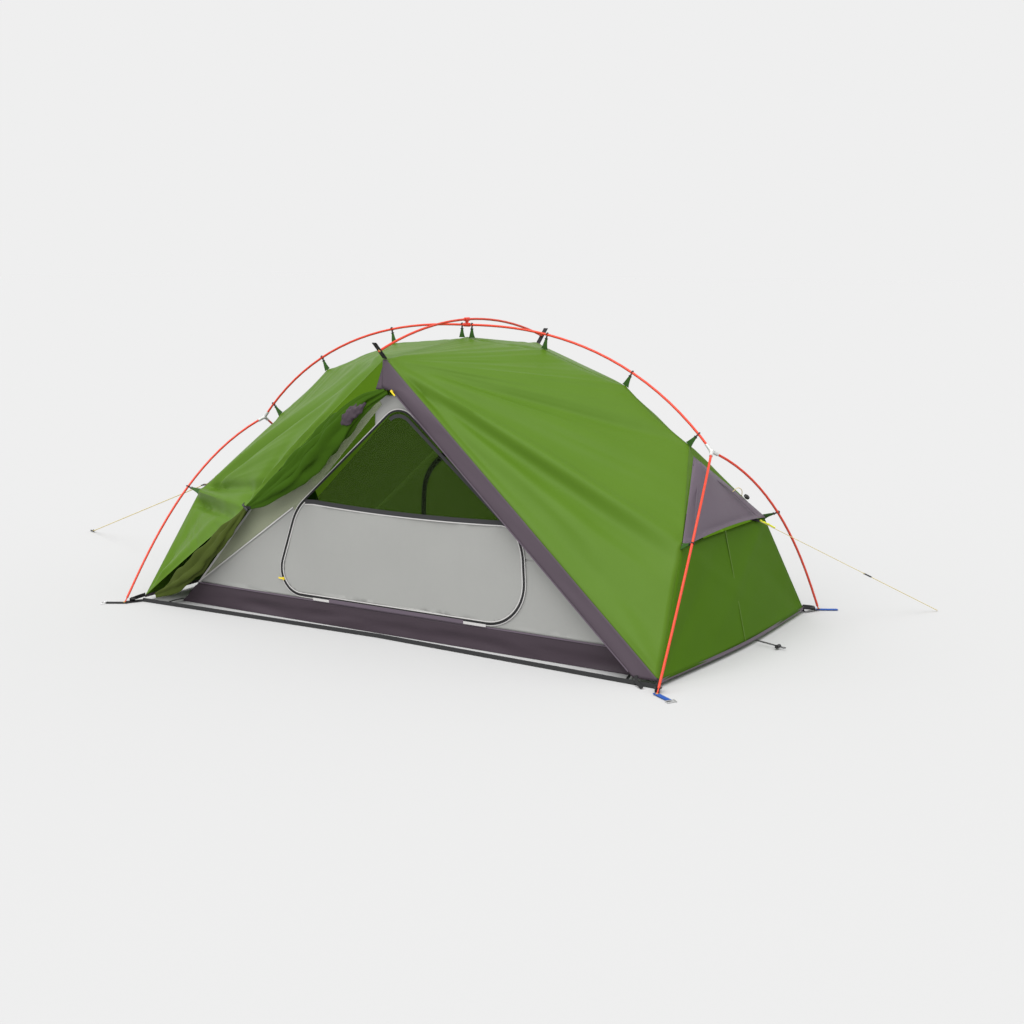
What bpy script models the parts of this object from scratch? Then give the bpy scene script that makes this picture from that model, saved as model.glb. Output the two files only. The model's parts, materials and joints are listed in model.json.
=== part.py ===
"""Two-person tent on an outside pole frame, pitched, at its real size.

Metres, +Z up. The origin is on the ground at the middle of the tent, +X runs along the ridge pole
and the doorway faces -Y. Places are worked out from the driving dimensions below.
"""

import math

import bmesh
import bpy
from mathutils import Matrix, Vector

# Pole frame
FOOT_X = 1.250  # middle of the tent to a foot, along the ridge pole
FOOT_Y = 0.724  # ridge line to a foot, across it
HUB_X = 1.091  # middle of the tent to a hub
HUB_Z = 0.727
RIDGE_TOP_Z = 1.164  # axis of the ridge pole at the middle
RIDGE_END_SLOPE = math.radians(50)  # of the ridge pole where it meets a hub
RIDGE_TOP_HANDLE = 0.181  # Bezier handles that give the ridge pole its bow
RIDGE_BOW = 0.014  # the hub's handle ends this far above the ridge pole's top
LEG_HUB_HANDLE = Vector((0.136, 0.371, -0.157))  # Bezier handles of the back right leg
LEG_FOOT_HANDLE = Vector((-0.009, -0.105, 0.148))
CROSS_HALF_Y = 0.579  # middle to each end of the cross pole
CROSS_RISE = 0.022  # axis of the cross pole above the ridge pole's, where they cross
CROSS_DROP = 0.094  # its ends below its middle
POLE_R = 0.00475
RIDGE_SECTIONS = 4
SPIGOT_R = 0.0034
SPIGOT_LENGTH = 0.028
BORE_CLEARANCE = 0.0003  # round a piece inside another
FACE_GAP = 0.0003  # between faces that meet
TIP_R = 0.0025
LEG_TIP_LENGTH = 0.024
CROSS_TIP_LENGTH = 0.014
TIP_GROUND_Z = 0.0015  # middle of a leg tip's end face

# Hubs and the swivel clip
HUB_ARM_R = 0.0072
HUB_MOUTH = 0.034  # hub centre to the mouth of each arm
HUB_BODY_R = 0.0105
CLIP_HALF_LENGTH = 0.014
CLIP_R = 0.0078
PIN_R = 0.003

# Hooks and straps
HOOK_PLACES = (0.31, 0.64, 0.935)  # along each half of the ridge pole, of its length
HOOK_HALF_WIDTH = 0.005
HOOK_WALL = 0.0028
STRAP_DROP = 0.058  # ridge pole's axis to the fly
TOP_STRAP_DROP = 0.049
TOP_HOOK_X = 0.024
LEG_HOOK_Z = 0.454
LEG_STRAP = Vector((-0.050, -0.0175, -0.019))  # leg's axis to the fly, at the back right
APEX_STRAP = Vector((0.0, -0.034, -0.032))  # back cross-pole end to the fly
APEX_STRAP_LENGTH = 0.084
APEX_STRAP_WIDTH = 0.020
EYELET_R = 0.006
EYELET_HOLE_R = 0.0034

# Fabric
FABRIC = 0.002
SEAM_INSET = 0.003  # each panel's edge back from its seam
CORNER = Vector((-0.035, -0.084, 0.020))  # back right foot to the fly's corner
HEM_BOW = 0.030  # end wall's hem pulled out at its middle
HOOD_START = 0.047  # last ridge strap to the vent hood's top
FLAP_WIDTH = 0.065
FLAP_THROAT_Z = 0.948  # where the doorway's zip ends below the apex
FLAP_THROAT_X = -0.057
ROLL_CLEARANCE = 0.006

# Inner tent
FLOOR_HALF_X = 1.080
TUB_TOP_HALF_X = 0.985
FLOOR_HALF_Y = 0.557
TUB_HEIGHT = 0.093
INNER_APEX_DROP = 0.138  # below the fly's apex
INNER_APEX_SET = 0.014  # behind it
INNER_EDGE_SET = 0.030  # inner wall's edge inside the fly's front edge
INNER_TOP_SET = 0.080
INNER_SHOULDERS_Z = (0.47, 0.72)
INNER_RIDGE_DROP = 0.085  # below the fly's ridge
DOOR_SILL = 0.014
DOOR_TOP = Vector((0.055, -0.030))  # from the wall's apex: along X, and down
DOOR_SHOULDER_Z = 0.45
DOOR_RIGHT_MARGIN = 0.075
DOOR_LEFT_MARGIN = 0.235
DOOR_RIGHT_FLARE = 0.025  # its foot further out than its shoulder
DOOR_LEFT_FLARE = 0.115
ZIP_GAP = 0.0025
DOOR_CORNERS_R = (0.085, 0.220, 0.160, 0.100, 0.200)  # top, then clockwise

# Zips
SLIDER_SIZE = (0.013, 0.009, 0.005)
PULL_SIZE = (0.024, 0.006, 0.0016)
SLIDER_STANDS = 0.0008  # off the fabric
FLY_SLIDER_BACK = 0.012  # from the end of its zip
TRACK_SET = 0.0075  # inner door's edge to its slider's middle
INNER_SLIDER_AT = math.radians(205)  # round the door's lower left corner

# Ground fastenings
TAPE_WIDTH = 0.016
TAPE_THICKNESS = 0.002
TAPE_MIDDLE_Y = 0.610
PEG_REACH = Vector((0.066, 0.040))  # foot to the end of its webbing
RING_WIRE_R = 0.0015
RING_SIZE = Vector((0.034, 0.016))  # along the webbing's end, and out from it
RING_SLEEVE_R = 0.0036
RING_SLEEVE_WIDTH = 0.015

# Guys and the end loop
CORD_R = 0.00125
STRAND_GAP = 0.005  # between the middles of a doubled line's strands
END_LOOP_R = 0.007
LOOP_TAPER = 0.045
RUNNER_SIZE = Vector((0.034, 0.014, 0.005))
RUNNER_HOLE_R = 0.0019
RIGHT_GUY_SET = Vector((0.014, -0.073, -0.005))  # from the fly's back right corner at the leg hook
RIGHT_GUY_REACH = Vector((0.502, 0.679))  # along the ground
RIGHT_GUY_END_Z = 0.004
RIGHT_RUNNER_AT = 0.545
LEFT_GUY_SET = Vector((0.002, 0.076, 0.033))  # from the fly's front left corner at the leg hook
LEFT_GUY_REACH = Vector((-1.450, 0.631))
LEFT_GUY_END_Z = 0.009
LEFT_RUNNER_AT = 0.075
SLEEVE_LENGTH = 0.040
SLEEVE_R = 0.0036
END_RING_R = 0.006
ELASTIC_SET = Vector((0.013, 0.062, -0.002))  # from the middle of the right end's hem
ELASTIC_REACH = Vector((0.127, -0.018))
ELASTIC_END_Z = 0.0085
ELASTIC_GAP = 0.009
ELASTIC_TAPER = 0.014
LOCK_AT = 0.098
LOCK_R = 0.0075
LOCK_BUTTON_SIDE = 0.013
LOCK_PLAIN_SIDE = 0.008
BUTTON_R = 0.005
BUTTON_TRAVEL = 0.004
BUTTON_STANDS = 0.006

ROUND = 12  # sides of a pole
SMALL_ROUND = 8

FINISHES = {
    "pole": ((0.78, 0.09, 0.035), 0.30, 0.7),
    "clip": ((0.70, 0.05, 0.02), 0.45, 0.0),
    "hub": ((0.62, 0.62, 0.60), 0.40, 0.0),
    "hook": ((0.015, 0.015, 0.016), 0.45, 0.0),
    "fly": ((0.13, 0.26, 0.045), 0.60, 0.0),
    "flap": ((0.16, 0.13, 0.15), 0.65, 0.0),
    "floor": ((0.07, 0.05, 0.07), 0.55, 0.0),
    "inner": ((0.52, 0.53, 0.50), 0.75, 0.0),
    "webbing": ((0.012, 0.012, 0.014), 0.85, 0.0),
    "zip": ((0.75, 0.60, 0.03), 0.40, 0.0),
    "guy": ((0.70, 0.62, 0.32), 0.80, 0.0),
    "steel": ((0.70, 0.70, 0.70), 0.25, 1.0),
}


def clear_scene():
    """Removes what the scene starts with."""
    for obj in list(bpy.data.objects):
        bpy.data.objects.remove(obj, do_unlink=True)


def finish_of(name, finish):
    """A material of its own for one piece."""
    color, roughness, metallic = FINISHES[finish]
    material = bpy.data.materials.new(name)
    material.use_nodes = True
    shader = material.node_tree.nodes["Principled BSDF"]
    shader.inputs["Base Color"].default_value = (*color, 1.0)
    shader.inputs["Roughness"].default_value = roughness
    shader.inputs["Metallic"].default_value = metallic
    return material


def add_object(name, bm, finish, smooth=False):
    """The bmesh as a named object at the world's origin."""
    mesh = bpy.data.meshes.new(name)
    bm.to_mesh(mesh)
    bm.free()
    if smooth:
        mesh.shade_smooth()
        mesh.set_sharp_from_angle(angle=math.radians(35))
    obj = bpy.data.objects.new(name, mesh)
    obj.data.materials.append(finish_of(name, finish))
    bpy.context.scene.collection.objects.link(obj)
    return obj


def helper(bm, name):
    """A solid that only shapes another by a Boolean."""
    obj = add_object(name, bm, "steel")
    obj.hide_render = True
    obj.display_type = "WIRE"
    return obj


def combine(obj, operation, bm):
    """Joins the bmesh to the object, or cuts it away."""
    other = helper(bm, f"{obj.name}_{operation.lower()}_{len(obj.modifiers)}")
    modifier = obj.modifiers.new(f"{operation.title()} {len(obj.modifiers)}", "BOOLEAN")
    modifier.operation = operation
    modifier.solver = "EXACT"
    modifier.object = other


def move_origin(obj, point):
    """Puts a moving piece's origin on its joint's axis."""
    obj.data.transform(Matrix.Translation(-Vector(point)))
    obj.location = point


def mirrored(point, x_side, y_side):
    """A place at the back right, taken to another corner."""
    return Vector((point[0] * x_side, point[1] * y_side, point[2]))


class Route:
    """A curve sampled finely, with its length, and a frame that doesn't twist along it."""

    def __init__(self, points, up):
        self.points = [Vector(p) for p in points]
        self.lengths = [0.0]
        for a, b in zip(self.points, self.points[1:]):
            self.lengths.append(self.lengths[-1] + (b - a).length)
        self.total = self.lengths[-1]
        self.tangents = self._tangents()
        side = self.tangents[0].cross(Vector(up)).normalized()
        self.sides = []
        for tangent in self.tangents:
            side = (side - tangent * side.dot(tangent)).normalized()
            self.sides.append(side)

    def _tangents(self):
        found = []
        last = len(self.points) - 1
        for i in range(last + 1):
            before = self.points[max(i - 1, 0)]
            after = self.points[min(i + 1, last)]
            found.append((after - before).normalized())
        return found

    def at(self, s):
        """(point, tangent, side, up) at a length along the curve, straight on past its ends."""
        i = 0
        while i < len(self.lengths) - 2 and self.lengths[i + 1] < s:
            i += 1
        share = (s - self.lengths[i]) / (self.lengths[i + 1] - self.lengths[i])
        held = min(max(share, 0.0), 1.0)
        tangent = self.tangents[i].lerp(self.tangents[i + 1], held).normalized()
        side = self.sides[i].lerp(self.sides[i + 1], held)
        side = (side - tangent * side.dot(tangent)).normalized()
        point = self.points[i].lerp(self.points[i + 1], share)
        return point, tangent, side, side.cross(tangent)

    def where_height(self, z):
        """The length at which a falling curve passes a height."""
        for i, point in enumerate(self.points[1:]):
            if point.z <= z:
                above = self.points[i].z
                return self.lengths[i] + (above - z) / (above - point.z) * (
                    self.lengths[i + 1] - self.lengths[i]
                )
        return self.total


def bezier(a, b, c, d, count=48):
    """Points of a cubic Bezier curve."""
    found = []
    for i in range(count + 1):
        t = i / count
        u = 1 - t
        found.append(a * u**3 + b * (3 * u * u * t) + c * (3 * u * t * t) + d * t**3)
    return found


def ring_at(bm, route, s, radius, sides):
    """A circle of vertices across the route, or one vertex where the radius is nothing."""
    point, _, side, up = route.at(s)
    if radius == 0:
        return [bm.verts.new(point)]
    turns = [math.tau * (i + 0.5) / sides for i in range(sides)]
    return [bm.verts.new(point + (side * math.cos(a) + up * math.sin(a)) * radius) for a in turns]


def swept(route, stations, sides=ROUND, longest=0.06):
    """A solid of round section along a route. Stations are (length, radius), and may turn back
    on themselves to make a bore."""
    full = [stations[0]]
    for (s0, r0), (s1, r1) in zip(stations, stations[1:]):
        steps = max(1, math.ceil(abs(s1 - s0) / longest))
        for k in range(1, steps + 1):
            full.append((s0 + (s1 - s0) * k / steps, r0 + (r1 - r0) * k / steps))
    bm = bmesh.new()
    rings = [ring_at(bm, route, s, r, sides) for s, r in full]
    for a, b in zip(rings, rings[1:]):
        for i in range(sides):
            j = (i + 1) % sides
            if len(a) == 1:
                bm.faces.new((a[0], b[i], b[j]))
            elif len(b) == 1:
                bm.faces.new((a[j], a[i], b[0]))
            else:
                bm.faces.new((a[j], a[i], b[i], b[j]))
    bmesh.ops.recalc_face_normals(bm, faces=bm.faces)
    return bm


def rod(start, end, radius, sides=ROUND):
    """A plain round bar between two points."""
    start, end = Vector(start), Vector(end)
    along = (end - start).normalized()
    up = Vector((0, 0, 1)) if abs(along.z) < 0.9 else Vector((0, 1, 0))
    route = Route((start, end), up)
    length = route.total
    return swept(route, ((0, 0), (0, radius), (length, radius), (length, 0)), sides, length)


def block(center, axes, size):
    """A box with its sides along three given directions."""
    bm = bmesh.new()
    bmesh.ops.create_cube(bm, size=1.0)
    turn = Matrix([axes[i] * size[i] for i in range(3)]).transposed().to_4x4()
    bmesh.ops.transform(bm, matrix=Matrix.Translation(center) @ turn, verts=bm.verts)
    bmesh.ops.recalc_face_normals(bm, faces=bm.faces)
    return bm


def ribbon(path, width, thickness, width_along):
    """A flat strap of one thickness along a path, with mitred bends. width_along(tangent) gives
    the direction of its width."""
    points = [Vector(p) for p in path]
    bm = bmesh.new()
    rings = []
    for i, point in enumerate(points):
        before = (point - points[i - 1]).normalized() if i else None
        after = (points[i + 1] - point).normalized() if i < len(points) - 1 else None
        ends = [d for d in (before, after) if d]
        tangent = sum(ends, Vector()).normalized()
        stretch = 1 / tangent.dot(ends[0])
        across = width_along(tangent)
        normal = tangent.cross(across).normalized()
        ring = []
        for u, v in ((-1, -1), (1, -1), (1, 1), (-1, 1)):
            offset = across * (u * width / 2 * stretch) + normal * (v * thickness / 2)
            ring.append(bm.verts.new(point + offset))
        rings.append(ring)
    for a, b in zip(rings, rings[1:]):
        for i in range(4):
            j = (i + 1) % 4
            bm.faces.new((a[i], a[j], b[j], b[i]))
    bm.faces.new(rings[0])
    bm.faces.new(rings[-1])
    bmesh.ops.recalc_face_normals(bm, faces=bm.faces)
    return bm


def inset_edge(bm, distance):
    """Moves the open edge of a sheet back into it, mitred at its corners."""
    shifts = {}
    for edge in bm.edges:
        if len(edge.link_faces) != 1:
            continue
        face = edge.link_faces[0]
        loop = next(one for one in face.loops if one.edge == edge)
        along = (loop.link_loop_next.vert.co - loop.vert.co).normalized()
        inward = face.normal.cross(along).normalized()
        for vert in edge.verts:
            shifts.setdefault(vert, []).append(inward)
    for vert, (first, second) in shifts.items():
        share = max(1 + first.dot(second), 0.35)
        vert.co += (first + second) * (distance / share)


def sheet(name, corners, faces, finish, inset=SEAM_INSET, offset=0.0):
    """A fabric panel: flat faces between named corners, thickened. offset -1 keeps the given
    surface as the outside."""
    bm = bmesh.new()
    verts = {key: bm.verts.new(place) for key, place in corners.items()}
    for face in faces:
        bm.faces.new([verts[key] for key in face])
    bm.normal_update()
    inset_edge(bm, inset)
    return thickened(name, bm, finish, offset)


def thickened(name, bm, finish, offset=0.0):
    """A one-sided sheet given the fabric's thickness."""
    obj = add_object(name, bm, finish)
    modifier = obj.modifiers.new("Thickness", "SOLIDIFY")
    modifier.thickness = FABRIC
    modifier.offset = offset
    modifier.use_even_offset = True
    return obj


# ---------------------------------------------------------------- places


def ridge_route():
    """The ridge pole's axis, from the left hub to the right one."""
    top = Vector((0, 0, RIDGE_TOP_Z))
    hub = Vector((HUB_X, 0, HUB_Z))
    lean = Vector((math.cos(RIDGE_END_SLOPE), 0, -math.sin(RIDGE_END_SLOPE)))
    reach = (RIDGE_TOP_Z + RIDGE_BOW - HUB_Z) / math.sin(RIDGE_END_SLOPE)
    right = bezier(top, top + Vector((RIDGE_TOP_HANDLE, 0, 0)), hub - lean * reach, hub)
    left = [mirrored(p, -1, 1) for p in reversed(right)]
    return Route(left + right[1:], (0, 0, 1))


def leg_route(x_side, y_side):
    """A leg's axis, from its hub to its foot."""
    hub = Vector((HUB_X, 0, HUB_Z))
    foot = Vector((FOOT_X, FOOT_Y, TIP_GROUND_Z))
    points = bezier(hub, hub + LEG_HUB_HANDLE, foot + LEG_FOOT_HANDLE, foot)
    return Route([mirrored(p, x_side, y_side) for p in points], (0, 0, 1))


def cross_route():
    """The cross pole's axis, a circular arc from its front end to its back end."""
    radius = (CROSS_HALF_Y**2 + CROSS_DROP**2) / (2 * CROSS_DROP)
    reach = math.asin(CROSS_HALF_Y / radius)
    top = RIDGE_TOP_Z + CROSS_RISE
    points = []
    for i in range(-24, 25):
        angle = reach * i / 24
        points.append((0, radius * math.sin(angle), top - radius * (1 - math.cos(angle))))
    return Route(points, (0, 0, 1))


RIDGE = ridge_route()
CROSS = cross_route()
HALF_RIDGE = RIDGE.total / 2


def ridge_place(share):
    """(point, tangent) of the ridge pole, from -1 at the left hub to 1 at the right one."""
    point, tangent, _, _ = RIDGE.at(HALF_RIDGE * (1 + share))
    return point, tangent


def fly_ridge(share):
    """The fly's ridge under a hook."""
    point, tangent = ridge_place(share)
    inward = Vector((tangent.z, 0, -tangent.x))
    return point + inward * STRAP_DROP


def fly_corners(x_side, y_side):
    """The fly's corners in one quarter of the tent."""
    leg = leg_route(1, 1)
    hook = leg.at(leg.where_height(LEG_HOOK_Z))[0]
    places = {f"R{i + 1}": fly_ridge(share) for i, share in enumerate(HOOK_PLACES)}
    places["R0"] = Vector((0, 0, RIDGE_TOP_Z - TOP_STRAP_DROP))
    places["M"] = hook + LEG_STRAP
    places["M0"] = Vector((places["M"].x, 0, places["M"].z))
    down = (places["M0"] - places["R3"]).normalized()
    places["T"] = places["R3"] + down * HOOD_START
    places["G"] = Vector((FOOT_X, FOOT_Y, 0)) + CORNER
    places["H"] = Vector((places["G"].x + HEM_BOW, 0, places["G"].z))
    places["A"] = Vector((0, CROSS_HALF_Y, RIDGE_TOP_Z + CROSS_RISE - CROSS_DROP)) + APEX_STRAP
    return {key: mirrored(place, x_side, y_side) for key, place in places.items()}


FLY = fly_corners(1, 1)
QUARTER_FACES = (
    ("A", "R0", "R1"),
    ("A", "R1", "R2"),
    ("A", "R2", "R3"),
    ("A", "R3", "M"),
    ("M", "R3", "T"),
    ("A", "M", "G"),
)


def front_y(z):
    """The fly's front plane, as a distance from the ridge line."""
    share = (FLY["A"].z - z) / (FLY["A"].z - FLY["G"].z)
    return FLY["A"].y + (FLY["G"].y - FLY["A"].y) * share


def front_edge_x(z):
    """The fly's front edge, as a distance from the middle."""
    return FLY["G"].x * (FLY["A"].z - z) / (FLY["A"].z - FLY["G"].z)


def flap_edge_x(z):
    """The storm flap's inner edge."""
    rise = FLY["A"].z - FLY["G"].z
    slant = math.hypot(FLY["G"].x, rise)
    return front_edge_x(z) - FLAP_WIDTH * slant / rise


INNER_TOP_Z = FLY["A"].z - INNER_APEX_DROP
INNER_TOP_Y = FLY["A"].y - INNER_APEX_SET


def wall_y(z):
    """The inner tent's front and back wall planes, as a distance from the ridge line."""
    share = (z - TUB_HEIGHT) / (INNER_TOP_Z - TUB_HEIGHT)
    return FLOOR_HALF_Y + (INNER_TOP_Y - FLOOR_HALF_Y) * share


def wall_outline():
    """(x, z) of the inner front wall's right edge, from the tub to the top."""
    low = (TUB_TOP_HALF_X, TUB_HEIGHT)
    middle = [(front_edge_x(z) - INNER_EDGE_SET, z) for z in INNER_SHOULDERS_Z]
    return [low, *middle, (front_edge_x(INNER_TOP_Z) - INNER_TOP_SET, INNER_TOP_Z)]


def wall_x(z):
    """The inner front wall's edge at a height."""
    points = wall_outline()
    for (x0, z0), (x1, z1) in zip(points, points[1:]):
        if z <= z1:
            return x0 + (x1 - x0) * (z - z0) / (z1 - z0)
    return points[-1][0]


def rounded(corners, steps=5):
    """A closed outline with arcs at its corners. Each corner is (x, z, radius)."""
    found = []
    count = len(corners)
    for i, (x, z, radius) in enumerate(corners):
        corner = Vector((x, z))
        before = (Vector(corners[i - 1][:2]) - corner).normalized()
        after = (Vector(corners[(i + 1) % count][:2]) - corner).normalized()
        half = before.angle(after) / 2
        inward = (before + after).normalized()
        middle = corner + inward * (radius / math.sin(half))
        first = corner + before * (radius / math.tan(half)) - middle
        last = corner + after * (radius / math.tan(half)) - middle
        turn = first.angle_signed(last)
        for k in range(steps + 1):
            angle = turn * k / steps
            arm = Matrix.Rotation(-angle, 2) @ first
            found.append(middle + arm)
    return found


def door_outline(shrink=0.0):
    """The D-shaped door's outline in the inner front wall, as (x, z)."""
    top_x, top_z = DOOR_TOP.x, INNER_TOP_Z + DOOR_TOP.y
    sill = TUB_HEIGHT + DOOR_SILL
    right = wall_x(DOOR_SHOULDER_Z) - DOOR_RIGHT_MARGIN
    left = -(wall_x(DOOR_SHOULDER_Z) - DOOR_LEFT_MARGIN)
    places = (
        (top_x, top_z),
        (right, DOOR_SHOULDER_Z),
        (right + DOOR_RIGHT_FLARE, sill),
        (left - DOOR_LEFT_FLARE, sill),
        (left, DOOR_SHOULDER_Z),
    )
    outline = rounded([(*place, radius) for place, radius in zip(places, DOOR_CORNERS_R)])
    count = len(outline)
    moved = []
    for i, point in enumerate(outline):
        along = (outline[(i + 1) % count] - outline[i - 1]).normalized()
        moved.append(point + Vector((along.y, -along.x)) * shrink)
    return moved


def on_front_wall(point):
    """A place on the inner tent's front wall."""
    return Vector((point[0], -wall_y(point[1]), point[1]))


def on_fly_front(x, z):
    """A place on the fly's front plane."""
    return Vector((x, -front_y(z), z))


# ---------------------------------------------------------------- frame


def pole_section(name, route, start, end, bore, spigot, finish="pole"):
    """One length of tube, with a bore at its start and a spigot at its end where it has them."""
    bore_r = SPIGOT_R + BORE_CLEARANCE
    depth = SPIGOT_LENGTH + BORE_CLEARANCE
    stations = [(start, 0)]
    if bore:
        stations = [(start + depth, 0), (start + depth, bore_r), (start, bore_r)]
    stations += [(start, POLE_R), (end, POLE_R)]
    if spigot:
        stations += [(end, SPIGOT_R), (end + SPIGOT_LENGTH, SPIGOT_R), (end + SPIGOT_LENGTH, 0)]
    else:
        stations.append((end, 0))
    return add_object(name, swept(route, stations), finish, smooth=True)


def ridge_pole():
    """Four sections from hub to hub."""
    length = RIDGE.total / RIDGE_SECTIONS
    for i in range(RIDGE_SECTIONS):
        start = i * length + (FACE_GAP if i else HUB_BODY_R)
        last = i == RIDGE_SECTIONS - 1
        end = (i + 1) * length - (HUB_BODY_R if last else 0)
        pole_section(f"ridge_pole_section_{i + 1}", RIDGE, start, end, i > 0, not last)


def leg(label, x_side, y_side):
    """A leg's two sections, the lower one ending in its tip."""
    route = leg_route(x_side, y_side)
    middle = (HUB_MOUTH + route.total) / 2
    start = HUB_MOUTH + FACE_GAP
    upper = pole_section(f"leg_{label}_upper", route, start, middle, False, True)
    shoulder = route.total - LEG_TIP_LENGTH
    bore_r = SPIGOT_R + BORE_CLEARANCE
    depth = middle + SPIGOT_LENGTH + BORE_CLEARANCE
    begin = middle + FACE_GAP
    stations = [(depth, 0), (depth, bore_r), (begin, bore_r), (begin, POLE_R)]
    stations += [(shoulder, POLE_R), (shoulder, TIP_R), (route.total, TIP_R), (route.total, 0)]
    lower = add_object(f"leg_{label}_lower", swept(route, stations), "pole", smooth=True)
    point, _, _, up = route.at(HUB_MOUTH + FACE_GAP / 2)
    for piece in (upper, lower):
        move_origin(piece, point + up * (POLE_R + FACE_GAP))


def hub(label, x_side):
    """A three-way hub: one arm takes the ridge pole, the others meet the legs."""
    center = Vector((HUB_X * x_side, 0, HUB_Z))
    ridge_end = RIDGE.total if x_side > 0 else 0.0
    _, tangent, _, _ = RIDGE.at(ridge_end)
    inward = -tangent * x_side
    legs = [leg_route(x_side, y_side).at(HUB_MOUTH) for y_side in (-1, 1)]
    obj = add_object(f"hub_{label}", rod(center, center + inward * HUB_MOUTH, HUB_ARM_R), "hub", True)
    for point, arm, _, _ in legs:
        combine(obj, "UNION", rod(point - arm * HUB_MOUTH, point, HUB_ARM_R))
    ball = bmesh.new()
    bmesh.ops.create_icosphere(ball, subdivisions=2, radius=HUB_BODY_R)
    bmesh.ops.translate(ball, vec=center, verts=ball.verts)
    combine(obj, "UNION", ball)
    bore_start = ridge_end - x_side * (HUB_BODY_R - FACE_GAP)
    bore_end = ridge_end - x_side * (HUB_MOUTH + 0.01)
    radius = POLE_R + 2 * BORE_CLEARANCE
    stations = ((bore_start, 0), (bore_start, radius), (bore_end, radius), (bore_end, 0))
    combine(obj, "DIFFERENCE", swept(RIDGE, stations))


def swivel_clip():
    """The clip where the poles cross: a sleeve on the ridge pole with a pin, and a sleeve on the
    cross pole that turns on it."""
    ridge = Vector((0, 0, RIDGE_TOP_Z))
    cross = Vector((0, 0, RIDGE_TOP_Z + CROSS_RISE))
    x_axis, y_axis, z_axis = Vector((1, 0, 0)), Vector((0, 1, 0)), Vector((0, 0, 1))
    bore_r = POLE_R + 2 * BORE_CLEARANCE
    half = CLIP_HALF_LENGTH
    base = add_object("swivel_clip_base", rod(ridge - x_axis * half, ridge + x_axis * half, CLIP_R), "clip", True)
    pin_top = CROSS_RISE - POLE_R - 3 * BORE_CLEARANCE
    combine(base, "UNION", rod(ridge + z_axis * POLE_R, ridge + z_axis * pin_top, PIN_R))
    combine(base, "DIFFERENCE", rod(ridge - x_axis * 2 * half, ridge + x_axis * 2 * half, bore_r))
    top = add_object("swivel_clip_top", rod(cross - y_axis * half, cross + y_axis * half, CLIP_R), "clip", True)
    boss_low = CLIP_R + 2 * FACE_GAP
    combine(top, "UNION", rod(ridge + z_axis * boss_low, cross, CLIP_R * 0.9))
    combine(top, "DIFFERENCE", rod(cross - y_axis * 2 * half, cross + y_axis * 2 * half, bore_r))
    hole = rod(ridge + z_axis * POLE_R, cross - z_axis * FACE_GAP, PIN_R + BORE_CLEARANCE)
    combine(top, "DIFFERENCE", hole)
    move_origin(top, cross)


def cross_pole():
    """Two sections that meet inside the clip, each ending in its tip."""
    half = CROSS.total / 2
    for label, sign in (("front", -1), ("back", 1)):
        shoulder = half + sign * (half - CROSS_TIP_LENGTH / 2)
        tip = shoulder + sign * CROSS_TIP_LENGTH
        inner = half + sign * FACE_GAP
        stations = ((inner, 0), (inner, POLE_R), (shoulder, POLE_R), (shoulder, TIP_R), (tip, TIP_R), (tip, 0))
        obj = add_object(f"cross_pole_{label}", swept(CROSS, stations), "pole", True)
        move_origin(obj, Vector((0, 0, RIDGE_TOP_Z + CROSS_RISE)))


# ---------------------------------------------------------------- hooks and straps


def hook_solid(point, tangent, target):
    """A hook round a pole, open at one side, with its strap reaching to the fly."""
    reach = (target - point).length - 2 * FABRIC
    down = target - point
    down = (down - tangent * down.dot(tangent)).normalized()
    side = tangent.cross(down)
    inner_r = POLE_R + 0.0005
    outer_r = inner_r + HOOK_WALL
    lip, mouth = 25, 285
    outline = []
    for degrees in range(lip, mouth + 1, 20):
        outline.append((outer_r, math.radians(degrees)))
    for degrees in range(mouth, -lip - 1, -20):
        outline.append((inner_r, math.radians(degrees)))
    outline.append((inner_r, math.radians(-lip)))
    places = [(r * math.cos(a), r * math.sin(a)) for r, a in outline]
    half = outer_r * math.sin(math.radians(lip))
    neck = outer_r * math.cos(math.radians(lip))
    places += [(neck, -half), (reach, -half), (reach, half)]
    bm = bmesh.new()
    verts = []
    for along_down, along_side in places:
        offset = down * along_down + side * along_side - tangent * HOOK_HALF_WIDTH
        verts.append(bm.verts.new(point + offset))
    face = bm.faces.new(verts)
    grown = bmesh.ops.extrude_face_region(bm, geom=[face])
    moved = [v for v in grown["geom"] if isinstance(v, bmesh.types.BMVert)]
    bmesh.ops.translate(bm, vec=tangent * (2 * HOOK_HALF_WIDTH), verts=moved)
    bmesh.ops.recalc_face_normals(bm, faces=bm.faces)
    return bm


def hooks():
    """Six hooks and a double one on the ridge pole, and one on each leg."""
    count = 0
    for share in [-s for s in reversed(HOOK_PLACES)] + list(HOOK_PLACES):
        count += 1
        point, tangent = ridge_place(share)
        add_object(f"ridge_hook_{count}", hook_solid(point, tangent, fly_ridge(share)), "hook")
    target_z = RIDGE_TOP_Z - TOP_STRAP_DROP
    pieces = []
    for x in (-TOP_HOOK_X, TOP_HOOK_X):
        point, tangent = ridge_place(x / HALF_RIDGE)
        pieces.append(hook_solid(point, tangent, Vector((point.x, 0, target_z))))
    double = add_object("ridge_hook_top_pair", pieces[0], "hook")
    combine(double, "UNION", pieces[1])
    width = 2 * (TOP_HOOK_X + HOOK_HALF_WIDTH - 0.001)
    bar_center = Vector((0, 0, target_z + 3.5 * FABRIC))
    axes = (Vector((1, 0, 0)), Vector((0, 1, 0)), Vector((0, 0, 1)))
    combine(double, "UNION", block(bar_center, axes, (width, 0.004, 2 * FABRIC)))
    for label, x_side, y_side in CORNERS:
        route = leg_route(x_side, y_side)
        point, tangent, _, _ = route.at(route.where_height(LEG_HOOK_Z))
        target = fly_corners(x_side, y_side)["M"]
        add_object(f"leg_hook_{label}", hook_solid(point, tangent, target), "hook")


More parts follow.
